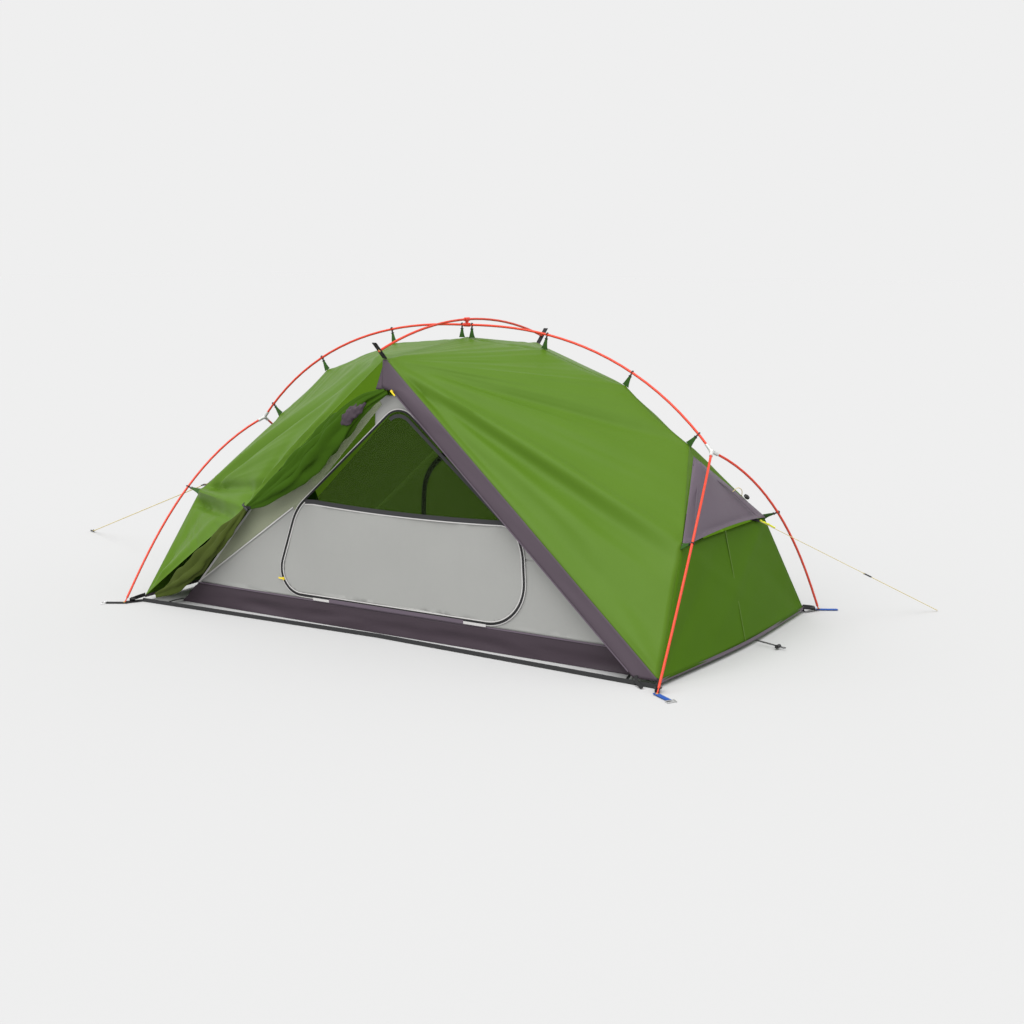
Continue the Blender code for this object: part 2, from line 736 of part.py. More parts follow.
CORNERS = (("front_left", -1, -1), ("front_right", 1, -1), ("back_left", -1, 1), ("back_right", 1, 1))


def apex_straps():
    """The webbing at each end of the cross pole, with the eyelet that its tip goes through."""
    for label, sign in (("front", -1), ("back", 1)):
        start = mirrored(FLY["A"], 1, sign)
        end_point = Vector((0, sign * CROSS_HALF_Y, FLY["A"].z - APEX_STRAP.z))
        along = (end_point - start).normalized()
        start = start + along * 0.006
        middle = start + along * (APEX_STRAP_LENGTH / 2)
        x_axis = Vector((1, 0, 0))
        normal = x_axis.cross(along)
        size = (APEX_STRAP_WIDTH, APEX_STRAP_LENGTH, TAPE_THICKNESS)
        obj = add_object(f"apex_strap_{label}", block(middle, (x_axis, along, normal), size), "webbing")
        half = CROSS.total / 2
        point, tangent, _, _ = CROSS.at(half + sign * half)
        eyelet = rod(point - normal * TAPE_THICKNESS, point + normal * TAPE_THICKNESS, EYELET_R)
        combine(obj, "UNION", eyelet)
        way = tangent * 0.02
        combine(obj, "DIFFERENCE", rod(point - way, point + way, EYELET_HOLE_R))


# ---------------------------------------------------------------- fly


def fly():
    """The outer tent: its panels meet at their seams."""
    for label, x_side in (("left", -1), ("right", 1)):
        places = fly_corners(x_side, -1)
        quarter = {key: places[key] for key in ("A", "R0", "R1", "R2", "R3", "T", "M", "G")}
        sheet(f"fly_front_{label}", quarter, QUARTER_FACES, "fly")
    places = {}
    faces = []
    for label, x_side in (("L", -1), ("R", 1)):
        for key, place in fly_corners(x_side, 1).items():
            places[key if key in ("A", "R0") else key + label] = place
        for face in QUARTER_FACES:
            named = tuple(key if key in ("A", "R0") else key + label for key in face)
            faces.append(named if x_side > 0 else tuple(reversed(named)))
    faces.append(("A", "GR", "GL"))
    used = {key for face in faces for key in face}
    sheet("fly_back", {key: place for key, place in places.items() if key in used}, faces, "fly")
    for label, x_side in (("left", -1), ("right", 1)):
        front, back = fly_corners(x_side, -1), fly_corners(x_side, 1)
        hood = {"T": front["T"], "F": front["M"], "B": back["M"]}
        sheet(f"vent_hood_{label}", hood, (("T", "F", "B"),), "flap")
        wall = {"MF": front["M"], "MB": back["M"], "GF": front["G"], "GB": back["G"]}
        wall |= {"H": front["H"], "M0": front["M0"]}
        faces = (("GF", "H", "MF"), ("H", "M0", "MF"), ("H", "MB", "M0"), ("H", "GB", "MB"))
        sheet(f"fly_end_{label}", wall, faces, "fly")
    storm_flap()
    rolled_door()


def storm_flap():
    """The strip down the doorway's right side, which widens to a triangle under the apex."""
    low = FLY["G"].z
    high = FLY["A"].z - FABRIC
    outline = {
        "top": on_fly_front(0, high),
        "outer": on_fly_front(front_edge_x(low), low),
        "inner": on_fly_front(flap_edge_x(low), low),
        "throat": on_fly_front(flap_edge_x(FLAP_THROAT_Z), FLAP_THROAT_Z),
        "left": on_fly_front(FLAP_THROAT_X, FLAP_THROAT_Z),
    }
    faces = (("top", "left", "throat"), ("top", "throat", "inner", "outer"))
    sheet("storm_flap", outline, faces, "flap")


# Height on the doorway's left edge, half width across the bundle, half depth
ROLL_STATIONS = (
    (0.930, 0.010, 0.010),
    (0.860, 0.044, 0.020),
    (0.700, 0.052, 0.022),
    (0.580, 0.046, 0.024),
    (0.495, 0.028, 0.022),
    (0.455, 0.016, 0.016),
    (0.370, 0.028, 0.022),
    (0.250, 0.044, 0.024),
    (0.150, 0.052, 0.020),
    (0.080, 0.026, 0.012),
)


def rolled_door():
    """The fly's door, gathered along the doorway's left edge and tied in at one place."""
    bm = bmesh.new()
    rings = []
    rise = FLY["A"].z - FLY["G"].z
    top = FLY["A"].z
    inward = Vector((rise, 0, -FLY["G"].x)).normalized()
    for height, half_width, half_depth in ROLL_STATIONS:
        z = top - (1.06 - height) * rise / 1.04
        edge = on_fly_front(-front_edge_x(z), z)
        middle = edge + inward * (half_width + ROLL_CLEARANCE)
        middle.y = -front_y(middle.z)
        ring = []
        for i in range(ROUND):
            angle = math.tau * i / ROUND
            across = inward * (half_width * math.cos(angle))
            ring.append(bm.verts.new(middle + across + Vector((0, half_depth * math.sin(angle), 0))))
        rings.append(ring)
    for a, b in zip(rings, rings[1:]):
        for i in range(ROUND):
            j = (i + 1) % ROUND
            bm.faces.new((a[i], a[j], b[j], b[i]))
    bm.faces.new(rings[0])
    bm.faces.new(rings[-1])
    bmesh.ops.recalc_face_normals(bm, faces=bm.faces)
    add_object("fly_door_rolled", bm, "fly", smooth=True)


# ---------------------------------------------------------------- inner tent


def floor_tub():
    """The waterproof floor with its upturned sides, open at the top."""
    corners = {}
    for label, x_side, y_side in CORNERS:
        corners["low_" + label] = (FLOOR_HALF_X * x_side, FLOOR_HALF_Y * y_side, 0)
        corners["top_" + label] = (TUB_TOP_HALF_X * x_side, FLOOR_HALF_Y * y_side, TUB_HEIGHT - FACE_GAP)
    around = ("front_left", "front_right", "back_right", "back_left")
    faces = [tuple("low_" + label for label in reversed(around))]
    for i, label in enumerate(around):
        other = around[(i + 1) % 4]
        faces.append(("low_" + label, "low_" + other, "top_" + other, "top_" + label))
    sheet("floor_tub", corners, faces, "floor", inset=0.0, offset=-1.0)


def filled(name, outlines, finish):
    """A flat sheet on the front wall's plane between closed outlines of (x, z)."""
    bm = bmesh.new()
    for outline in outlines:
        verts = [bm.verts.new(on_front_wall(point)) for point in outline]
        for a, b in zip(verts, verts[1:] + verts[:1]):
            bm.edges.new((a, b))
    bmesh.ops.triangle_fill(bm, use_beauty=True, use_dissolve=False, edges=bm.edges)
    bmesh.ops.recalc_face_normals(bm, faces=bm.faces)
    return thickened(name, bm, finish)


def front_wall_outline():
    """The inner front wall's whole outline, back from the seams round it."""
    right = wall_outline()
    low_z = TUB_HEIGHT + FABRIC
    slack = 2 * SEAM_INSET
    points = [(right[0][0] - slack, low_z)]
    points += [(x - slack, z) for x, z in right[1:-1]]
    points.append((right[-1][0] - slack, right[-1][1] - slack))
    return points + [(-x, z) for x, z in reversed(points)]


def inner_tent():
    """The floor, the front wall with its D-shaped door, and the rest in one canopy."""
    floor_tub()
    hole = [Vector(p) for p in door_outline()]
    filled("inner_front_wall", (front_wall_outline(), hole), "inner")
    door = filled("inner_door", (door_outline(ZIP_GAP),), "inner")
    move_origin(door, door_hinge())
    inner_canopy()


def door_hinge():
    """The middle of the door's hinge line, at the taped seam under it."""
    z = TUB_HEIGHT + DOOR_SILL + ZIP_GAP / 2
    return Vector((0, -wall_y(z) - FABRIC / 2, z))


def inner_canopy():
    """Roof, ends and back wall of the inner tent in one sheet, open at the front."""
    edge = wall_outline()
    end_top = Vector((FLY["T"].x - 0.155, 0, FLY["T"].z - 0.105))
    roof = Vector((FLY["R1"].x + 0.10, 0, FLY["R2"].z - 0.085))
    peak = Vector((edge[-1][0], 0, FLY["R0"].z - INNER_RIDGE_DROP))
    corners = {}
    for x_label, x_side in (("L", -1), ("R", 1)):
        for y_label, y_side in (("F", -1), ("B", 1)):
            for i, (x, z) in enumerate(edge):
                place = Vector((x * x_side, wall_y(z) * y_side, z))
                corners[f"S{i}{x_label}{y_label}"] = place
        for key, place in (("E", end_top), ("U", roof), ("C", peak)):
            corners[key + x_label] = mirrored(place, x_side, 1)
    faces = []
    for x_label, x_side in (("L", -1), ("R", 1)):
        for y_label, y_side in (("F", -1), ("B", 1)):
            chain = [f"S{i}{x_label}{y_label}" for i in range(4)]
            top = ["E" + x_label, "U" + x_label, "C" + x_label]
            half = [
                (chain[0], top[0], chain[1]),
                (chain[1], top[0], top[1]),
                (chain[1], top[1], chain[2]),
                (chain[2], top[1], top[2]),
                (chain[2], top[2], chain[3]),
            ]
            for face in half:
                faces.append(face if x_side * y_side > 0 else tuple(reversed(face)))
        end = ("S0" + x_label + "F", "S0" + x_label + "B", "E" + x_label)
        faces.append(end if x_side > 0 else tuple(reversed(end)))
    for y_label, y_side in (("F", -1), ("B", 1)):
        strip = [("CL", "CR", f"S3R{y_label}"), ("CL", f"S3R{y_label}", f"S3L{y_label}")]
        faces += [face if y_side < 0 else tuple(reversed(face)) for face in strip]
    for i in range(3):
        faces.append((f"S{i}LB", f"S{i}RB", f"S{i + 1}RB"))
        faces.append((f"S{i}LB", f"S{i + 1}RB", f"S{i + 1}LB"))
    bm = bmesh.new()
    verts = {key: bm.verts.new(place) for key, place in corners.items()}
    for face in faces:
        bm.faces.new([verts[key] for key in face])
    bmesh.ops.recalc_face_normals(bm, faces=bm.faces)
    bm.normal_update()
    inset_edge(bm, SEAM_INSET)
    thickened("inner_canopy", bm, "inner")


# ---------------------------------------------------------------- zips


def zip_slider(name, center, along, outward, pull_along):
    """A slider and its pull, which hangs from a bail on the slider's outer face."""
    along = along.normalized()
    outward = (outward - along * outward.dot(along)).normalized()
    axes = (along, outward.cross(along), outward)
    length, width, height = SLIDER_SIZE
    middle = center + outward * (FABRIC / 2 + SLIDER_STANDS + height / 2)
    slider = add_object(name + "_slider", block(middle, axes, SLIDER_SIZE), "zip")
    bevel = slider.modifiers.new("Rounding", "BEVEL")
    bevel.width = 0.001
    bevel.segments = 1
    move_origin(slider, middle)
    pull_way = (pull_along - outward * pull_along.dot(outward)).normalized()
    hinge = middle + outward * (height / 2 + PULL_SIZE[2] / 2 + FACE_GAP)
    pull_axes = (pull_way, outward.cross(pull_way), outward)
    start = hinge + pull_way * (PULL_SIZE[0] / 2 - PULL_SIZE[2] / 2)
    pull = add_object(name + "_pull", block(start, pull_axes, PULL_SIZE), "zip")
    move_origin(pull, hinge)


def zips():
    """The doorway's slider at the top of its zip, and the inner door's at the left of its track."""
    low = on_fly_front(flap_edge_x(FLY["G"].z), FLY["G"].z)
    high = on_fly_front(flap_edge_x(FLAP_THROAT_Z), FLAP_THROAT_Z)
    along = (low - high).normalized()
    outward = -(FLY_FRONT_NORMAL)
    start = high + along * FLY_SLIDER_BACK
    zip_slider("fly_zip", start, along, outward, along)
    center, radius, angle = door_track_arc()
    place = Vector((math.cos(angle), math.sin(angle))) * (radius + TRACK_SET) + center
    spot = on_front_wall(place)
    tangent = Vector((math.sin(angle), 0, -math.cos(angle)))
    zip_slider("inner_zip", spot, tangent, Vector((0, -1, 0)), Vector((-1, 0, 0.1)))


def door_track_arc():
    """(center, radius, angle) of the door's lower left corner and the slider's place on it."""
    sill = TUB_HEIGHT + DOOR_SILL
    left = -(wall_x(DOOR_SHOULDER_Z) - DOOR_LEFT_MARGIN)
    foot = Vector((left - DOOR_LEFT_FLARE, sill))
    up = (Vector((left, DOOR_SHOULDER_Z)) - foot).normalized()
    right = Vector((1, 0))
    half = up.angle(right) / 2
    radius = DOOR_CORNERS_R[3]
    center = foot + (up + right).normalized() * (radius / math.sin(half))
    return center, radius, INNER_SLIDER_AT


FLY_FRONT_NORMAL = (
    (mirrored(FLY["A"], 1, -1) - mirrored(FLY["G"], 1, -1))
    .cross(Vector((1, 0, 0)))
    .normalized()
)
FLY_FRONT_NORMAL = FLY_FRONT_NORMAL * (1 if FLY_FRONT_NORMAL.y > 0 else -1)


# ---------------------------------------------------------------- ground fastenings


def flat_width(tangent):
    """The direction of a strap's width where it lies on the ground."""
    return Vector((-tangent.y, tangent.x, 0)).normalized()


def base_straps():
    """Front and back: a tape along the ground with corner webbing at both ends."""
    foot = Vector((FOOT_X, FOOT_Y, 0))
    corner = foot + Vector((CORNER.x, CORNER.y + 0.012, 0))
    lift = Vector((0, 0, TAPE_THICKNESS / 2))
    end = foot + Vector((PEG_REACH.x, PEG_REACH.y, 0))
    for label, y_side in (("front", -1), ("back", 1)):
        right = [end, foot, corner, Vector((0, TAPE_MIDDLE_Y, 0))]
        path = [mirrored(p + lift, 1, y_side) for p in right]
        path += [mirrored(p + lift, -1, y_side) for p in reversed(right[:-1])]
        obj = add_object(f"base_strap_{label}", ribbon(path, TAPE_WIDTH, TAPE_THICKNESS, flat_width), "webbing")
        for x_side in (-1, 1):
            route = leg_route(x_side, y_side)
            point, tangent, _, _ = route.at(route.total)
            seat = mirrored(foot, x_side, y_side)
            rise = Vector((0, 0, TAPE_THICKNESS))
            combine(obj, "UNION", rod(seat + rise * 0.4, seat + rise * 1.6, EYELET_R))
            combine(obj, "DIFFERENCE", rod(point - tangent * 0.02, point + tangent * 0.02, EYELET_HOLE_R))
            if y_side < 0:
                ring_and_sleeve(obj, x_side, mirrored(end, x_side, y_side), mirrored(foot, x_side, y_side))


def ring_and_sleeve(strap, x_side, end, foot):
    """A peg ring, and the fold of webbing that it turns in."""
    outward = (end - foot).normalized()
    across = Vector((-outward.y, outward.x, 0)) * x_side
    lift = Vector((0, 0, RING_SLEEVE_R))
    middle = end + outward * (RING_SLEEVE_R * 0.5) + lift
    half = RING_SLEEVE_WIDTH / 2
    combine(strap, "UNION", rod(middle - across * half, middle + across * half, RING_SLEEVE_R))
    bore_r = RING_WIRE_R + 2 * BORE_CLEARANCE
    combine(strap, "DIFFERENCE", rod(middle - across * 2 * half, middle + across * 2 * half, bore_r))
    droop = (RING_SLEEVE_R - RING_WIRE_R * 1.05) / RING_SIZE.y
    outward = (outward - Vector((0, 0, droop))).normalized()
    long_half, depth = RING_SIZE.x / 2, RING_SIZE.y
    corners = (
        middle - across * long_half,
        middle + across * long_half,
        middle + across * long_half + outward * depth,
        middle - across * long_half + outward * depth,
    )
    bm = bmesh.new()
    rings = []
    for i, corner in enumerate(corners):
        to_next = (corners[(i + 1) % 4] - corner).normalized()
        from_last = (corner - corners[i - 1]).normalized()
        miter = (from_last - to_next).normalized()
        normal = to_next.cross(from_last).normalized()
        ring = []
        for k in range(SMALL_ROUND):
            angle = math.tau * (k + 0.5) / SMALL_ROUND
            offset = miter * (math.cos(angle) * math.sqrt(2)) + normal * math.sin(angle)
            ring.append(bm.verts.new(corner + offset * RING_WIRE_R))
        rings.append(ring)
    for i in range(4):
        a, b = rings[i], rings[(i + 1) % 4]
        for k in range(SMALL_ROUND):
            j = (k + 1) % SMALL_ROUND
            bm.faces.new((a[k], a[j], b[j], b[k]))
    bmesh.ops.recalc_face_normals(bm, faces=bm.faces)
    label = "left" if x_side < 0 else "right"
    ring = add_object(f"peg_ring_front_{label}", bm, "steel", smooth=True)
    move_origin(ring, middle)


# ---------------------------------------------------------------- guys


def cord(name, points, finish="guy"):
    """A cord along the given points, with closed ends."""
    curve = bpy.data.curves.new(name, "CURVE")
    curve.dimensions = "3D"
    curve.bevel_depth = CORD_R
    curve.bevel_resolution = 2
    curve.use_fill_caps = True
    spline = curve.splines.new("POLY")
    spline.points.add(len(points) - 1)
    for target, point in zip(spline.points, points):
        target.co = (*point, 1.0)
    obj = bpy.data.objects.new(name, curve)
    obj.data.materials.append(finish_of(name, finish))
    bpy.context.scene.collection.objects.link(obj)
    return obj


def reach_to(start, reach, z):
    """The end of a line that goes out over the ground from its start."""
    return Vector((start.x + reach.x, start.y + reach.y, z))


RIGHT_GUY_START = mirrored(FLY["M"], 1, 1) + RIGHT_GUY_SET
RIGHT_GUY_END = reach_to(RIGHT_GUY_START, RIGHT_GUY_REACH, RIGHT_GUY_END_Z)
LEFT_GUY_START = mirrored(FLY["M"], -1, -1) + LEFT_GUY_SET
LEFT_GUY_END = reach_to(LEFT_GUY_START, LEFT_GUY_REACH, LEFT_GUY_END_Z)
ELASTIC_START = FLY["H"] + ELASTIC_SET
ELASTIC_END = reach_to(ELASTIC_START, ELASTIC_REACH, ELASTIC_END_Z)


def line_frame(start, end):
    """(along, across, up, length) of a taut line."""
    along = end - start
    length = along.length
    along = along.normalized()
    across = Vector((-along.y, along.x, 0)).normalized()
    return along, across, along.cross(across), length


def doubled_line(start, end, runner_at, gap, taper=LOOP_TAPER):
    """A line out to its end, round a small loop there and back to its runner. It opens from the
    gap to the loop over the taper."""
    along, across, _, length = line_frame(start, end)
    half = gap / 2
    center_at = length - END_LOOP_R
    opening = math.radians(150)
    places = [(0.0, -half), (runner_at, -half), (center_at - taper, -half)]
    for k in range(7):
        angle = -opening + 2 * opening * k / 6
        places.append((center_at + END_LOOP_R * math.cos(angle), END_LOOP_R * math.sin(angle)))
    places += [(center_at - taper, half), (runner_at + FACE_GAP, half)]
    return [start + along * u + across * (v + half) for u, v in places]


def drilled_block(name, center, axes, size, holes, finish):
    """A block with round holes through its length. Holes are offsets across it."""
    obj = add_object(name, block(center, axes, size), finish)
    for offset in holes:
        middle = center + axes[1] * offset
        reach = axes[0] * size[0]
        combine(obj, "DIFFERENCE", rod(middle - reach, middle + reach, RUNNER_HOLE_R, SMALL_ROUND))
    return obj


def guys():
    """The two guy lines, each with its runner, and the left one's end sleeve."""
    for label, start, end, runner_at in (
        ("left", LEFT_GUY_START, LEFT_GUY_END, LEFT_RUNNER_AT),
        ("right", RIGHT_GUY_START, RIGHT_GUY_END, RIGHT_RUNNER_AT),
    ):
        along, across, up, _ = line_frame(start, end)
        cord(f"guy_line_{label}", doubled_line(start, end, runner_at, STRAND_GAP))
        center = start + along * runner_at + across * (STRAND_GAP / 2) + along * (RUNNER_SIZE.x / 2)
        half = STRAND_GAP / 2
        runner = drilled_block(
            f"guy_runner_{label}", center, (along, across, up), RUNNER_SIZE, (-half, half), "hook"
        )
        move_origin(runner, center)
    guy_end_sleeve()


def guy_end_sleeve():
    """A ring through the left line's end loop, with a short sleeve on its far side."""
    along, across, up, length = line_frame(LEFT_GUY_START, LEFT_GUY_END)
    middle = LEFT_GUY_START + across * (STRAND_GAP / 2)
    inside = length - 2 * CORD_R - RING_WIRE_R - 2 * BORE_CLEARANCE
    center = middle + along * (inside + END_RING_R)
    bm = bmesh.new()
    rings = []
    for i in range(ROUND):
        angle = math.tau * i / ROUND
        outward = along * math.cos(angle) + up * math.sin(angle)
        ring = []
        for k in range(SMALL_ROUND):
            turn = math.tau * k / SMALL_ROUND
            offset = outward * (END_RING_R + RING_WIRE_R * math.cos(turn))
            ring.append(bm.verts.new(center + offset + across * (RING_WIRE_R * math.sin(turn))))
        rings.append(ring)
    for i in range(ROUND):
        a, b = rings[i], rings[(i + 1) % ROUND]
        for k in range(SMALL_ROUND):
            j = (k + 1) % SMALL_ROUND
            bm.faces.new((a[k], a[j], b[j], b[k]))
    bmesh.ops.recalc_face_normals(bm, faces=bm.faces)
    obj = add_object("guy_end_left", bm, "hook", smooth=True)
    begin = center + along * END_RING_R
    flat = Vector((along.x, along.y, 0)).normalized()
    finish_at = begin + flat * SLEEVE_LENGTH
    finish_at.z = SLEEVE_R
    combine(obj, "UNION", rod(begin, finish_at, SLEEVE_R))


def end_loop():
    """The elastic peg loop at the right end, with its cord lock and the lock's button."""
    start, end = ELASTIC_START, ELASTIC_END
    along, across, up, _ = line_frame(start, end)
    cord("end_peg_elastic", doubled_line(start, end, 0.0, ELASTIC_GAP, ELASTIC_TAPER), "webbing")
    axis = start + along * LOCK_AT + across * (ELASTIC_GAP / 2)
    plain = axis + across * LOCK_PLAIN_SIDE
    button_side = axis - across * LOCK_BUTTON_SIDE
    lock = add_object("cord_lock", rod(button_side, plain, LOCK_R), "hook", True)
    for sign in (-1, 1):
        middle = axis + across * (sign * ELASTIC_GAP / 2)
        reach = along * (2 * LOCK_R)
        combine(lock, "DIFFERENCE", rod(middle - reach, middle + reach, RUNNER_HOLE_R, SMALL_ROUND))
    depth = BUTTON_TRAVEL + 0.0015
    bore = rod(button_side - across * 0.01, button_side + across * depth, BUTTON_R + BORE_CLEARANCE)
    combine(lock, "DIFFERENCE", bore)
    inside = button_side + across * (depth - BUTTON_TRAVEL - FACE_GAP)
    button = add_object("cord_lock_button", rod(button_side - across * BUTTON_STANDS, inside, BUTTON_R), "hook", True)
    move_origin(button, button_side)


def main():
    clear_scene()
    ridge_pole()
    for label, x_side, y_side in CORNERS:
        leg(label, x_side, y_side)
    for label, x_side in (("left", -1), ("right", 1)):
        hub(label, x_side)
    swivel_clip()
    cross_pole()
    hooks()
    apex_straps()
    fly()
    inner_tent()
    zips()
    base_straps()
    guys()
    end_loop()


main()
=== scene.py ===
"""Two-person tent on an outside pole frame: fabric panels, netting, zips, hooks and lines.

Everything is in metres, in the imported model's frame: +X along the ridge pole, -Y out of the
doorway, +Z up.
"""

from __future__ import annotations

import json
import logging
import math
from collections.abc import Callable, Iterable, Sequence
from dataclasses import dataclass, field
from enum import Enum

import bmesh
import bpy
from mathutils import Matrix, Vector, noise
from mathutils.bvhtree import BVHTree
from mathutils.geometry import delaunay_2d_cdt, intersect_point_line

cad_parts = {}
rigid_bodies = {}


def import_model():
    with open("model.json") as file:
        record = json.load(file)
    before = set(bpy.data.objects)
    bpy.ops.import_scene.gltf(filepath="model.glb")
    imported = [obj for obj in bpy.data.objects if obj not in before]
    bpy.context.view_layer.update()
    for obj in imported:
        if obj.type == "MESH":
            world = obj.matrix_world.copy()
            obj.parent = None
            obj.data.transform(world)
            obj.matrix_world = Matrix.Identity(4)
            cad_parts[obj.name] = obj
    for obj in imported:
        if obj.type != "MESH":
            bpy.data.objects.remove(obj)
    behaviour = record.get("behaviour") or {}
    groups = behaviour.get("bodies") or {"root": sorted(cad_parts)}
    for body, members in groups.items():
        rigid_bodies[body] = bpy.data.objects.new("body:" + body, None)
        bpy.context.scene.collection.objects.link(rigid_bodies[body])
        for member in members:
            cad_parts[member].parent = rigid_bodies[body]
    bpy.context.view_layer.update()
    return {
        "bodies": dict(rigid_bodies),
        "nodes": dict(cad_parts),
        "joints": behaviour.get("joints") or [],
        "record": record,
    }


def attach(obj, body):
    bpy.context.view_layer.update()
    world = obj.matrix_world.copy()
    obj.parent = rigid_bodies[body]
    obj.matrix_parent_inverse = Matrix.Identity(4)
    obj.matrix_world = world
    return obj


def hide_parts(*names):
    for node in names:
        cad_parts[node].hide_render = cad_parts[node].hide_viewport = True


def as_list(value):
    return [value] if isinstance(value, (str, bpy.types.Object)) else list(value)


log = logging.getLogger("tent")

Color = tuple[float, float, float]
Place = Callable[[float, float], Vector]


class Side(Enum):
    """The two ends of the ridge."""

    LEFT = -1
    RIGHT = 1


class Face(Enum):
    """The doorway side and the far side."""

    FRONT = -1
    BACK = 1


class Pattern(Enum):
    """How a cloth is woven."""

    PLAIN = "plain"
    RIPSTOP = "ripstop"
    NET = "net"
    WEBBING = "webbing"


# ---------------------------------------------------------------- node groups


def math_node(tree: bpy.types.NodeTree, operation: str, *values: object) -> bpy.types.NodeSocket:
    """Adds a Math node.

    Args:
        tree: the node tree.
        operation: Blender's name of the operation.
        values: numbers or sockets for its inputs.

    Returns:
        Its output.
    """
    node = tree.nodes.new("ShaderNodeMath")
    node.operation = operation
    for target, value in zip(node.inputs, values):
        if isinstance(value, bpy.types.NodeSocket):
            tree.links.new(value, target)
        else:
            target.default_value = value
    return node.outputs[0]


def new_group(
    name: str, inputs: dict[str, tuple[str, object]], outputs: dict[str, str]
) -> bpy.types.NodeTree:
    """Makes an empty shader group.

    Args:
        name: the group's name.
        inputs: socket name to (type, default).
        outputs: socket name to type.

    Returns:
        The group, with its Group Input and Group Output.
    """
    group = bpy.data.node_groups.new(name, "ShaderNodeTree")
    for label, (kind, default) in inputs.items():
        socket = group.interface.new_socket(label, in_out="INPUT", socket_type=f"NodeSocket{kind}")
        if default is not None:
            socket.default_value = default
    for label, kind in outputs.items():
        group.interface.new_socket(label, in_out="OUTPUT", socket_type=f"NodeSocket{kind}")
    group.nodes.new("NodeGroupInput")
    group.nodes.new("NodeGroupOutput")
    return group


def ends_of(group: bpy.types.NodeTree) -> tuple[bpy.types.Node, bpy.types.Node]:
    """The group's input and output nodes."""
    return group.nodes["Group Input"], group.nodes["Group Output"]


def wave_of(
    group: bpy.types.NodeTree, vector: bpy.types.NodeSocket, axis: str, period: float
) -> bpy.types.NodeSocket:
    """Parallel threads across one axis.

    Args:
        group: the node tree.
        vector: the coordinates, in metres.
        axis: X, Y or Z.
        period: the distance from thread to thread, in metres.

    Returns:
        The height, 0 to 1.
    """
    wave = group.nodes.new("ShaderNodeTexWave")
    wave.wave_type = "BANDS"
    wave.bands_direction = axis
    wave.inputs["Scale"].default_value = math.tau / 20 / period
    group.links.new(vector, wave.inputs["Vector"])
    return wave.outputs["Fac"]


def weave_group(name: str, period: float, thread: float) -> bpy.types.NodeTree:
    """A woven surface with slow changes of shade and, at a wider spacing, thicker threads.

    Args:
        name: the group's name.
        period: between threads, in metres.
        thread: between thick threads, in metres.

    Returns:
        The group: Vector, Color, Shade, Mottle and Thick in; Color, Height and Roughness out.
    """
    group = new_group(
        name,
        {
            "Vector": ("Vector", None),
            "Color": ("Color", (0.5, 0.5, 0.5, 1)),
            "Shade": ("Color", (0.4, 0.4, 0.4, 1)),
            "Mottle": ("Float", 0.3),
            "Thick": ("Float", 0.0),
            "Roughness": ("Float", 0.6),
        },
        {"Color": "Color", "Height": "Float", "Roughness": "Float"},
    )
    entry, leave = ends_of(group)
    links, nodes = group.links, group.nodes
    vector = entry.outputs["Vector"]
    warp = wave_of(group, vector, "X", period)
    weft = wave_of(group, vector, "Y", period)
    cloth = math_node(group, "MULTIPLY", math_node(group, "ADD", warp, weft), 0.5)
    lines = math_node(
        group, "MAXIMUM", wave_of(group, vector, "X", thread),
        wave_of(group, vector, "Y", thread)
    )
    lines = math_node(group, "POWER", lines, 24.0)
    lines = math_node(group, "MULTIPLY", lines, entry.outputs["Thick"])
    links.new(math_node(group, "ADD", cloth, lines), leave.inputs["Height"])
    cloud = nodes.new("ShaderNodeTexNoise")
    cloud.inputs["Scale"].default_value = 5.0
    cloud.inputs["Detail"].default_value = 5.0
    links.new(vector, cloud.inputs["Vector"])
    share = math_node(group, "MULTIPLY", cloud.outputs["Fac"], entry.outputs["Mottle"])
    share = math_node(group, "ADD", share, math_node(group, "MULTIPLY", lines, 0.2))
    mix = nodes.new("ShaderNodeMix")
    mix.data_type = "RGBA"
    links.new(share, mix.inputs["Factor"])
    links.new(entry.outputs["Color"], mix.inputs["A"])
    links.new(entry.outputs["Shade"], mix.inputs["B"])
    links.new(mix.outputs["Result"], leave.inputs["Color"])
    dull = math_node(
        group, "MULTIPLY", math_node(group, "SUBTRACT", cloud.outputs["Fac"], 0.5), 0.16
    )
    links.new(math_node(group, "ADD", dull, entry.outputs["Roughness"]), leave.inputs["Roughness"])
    return group


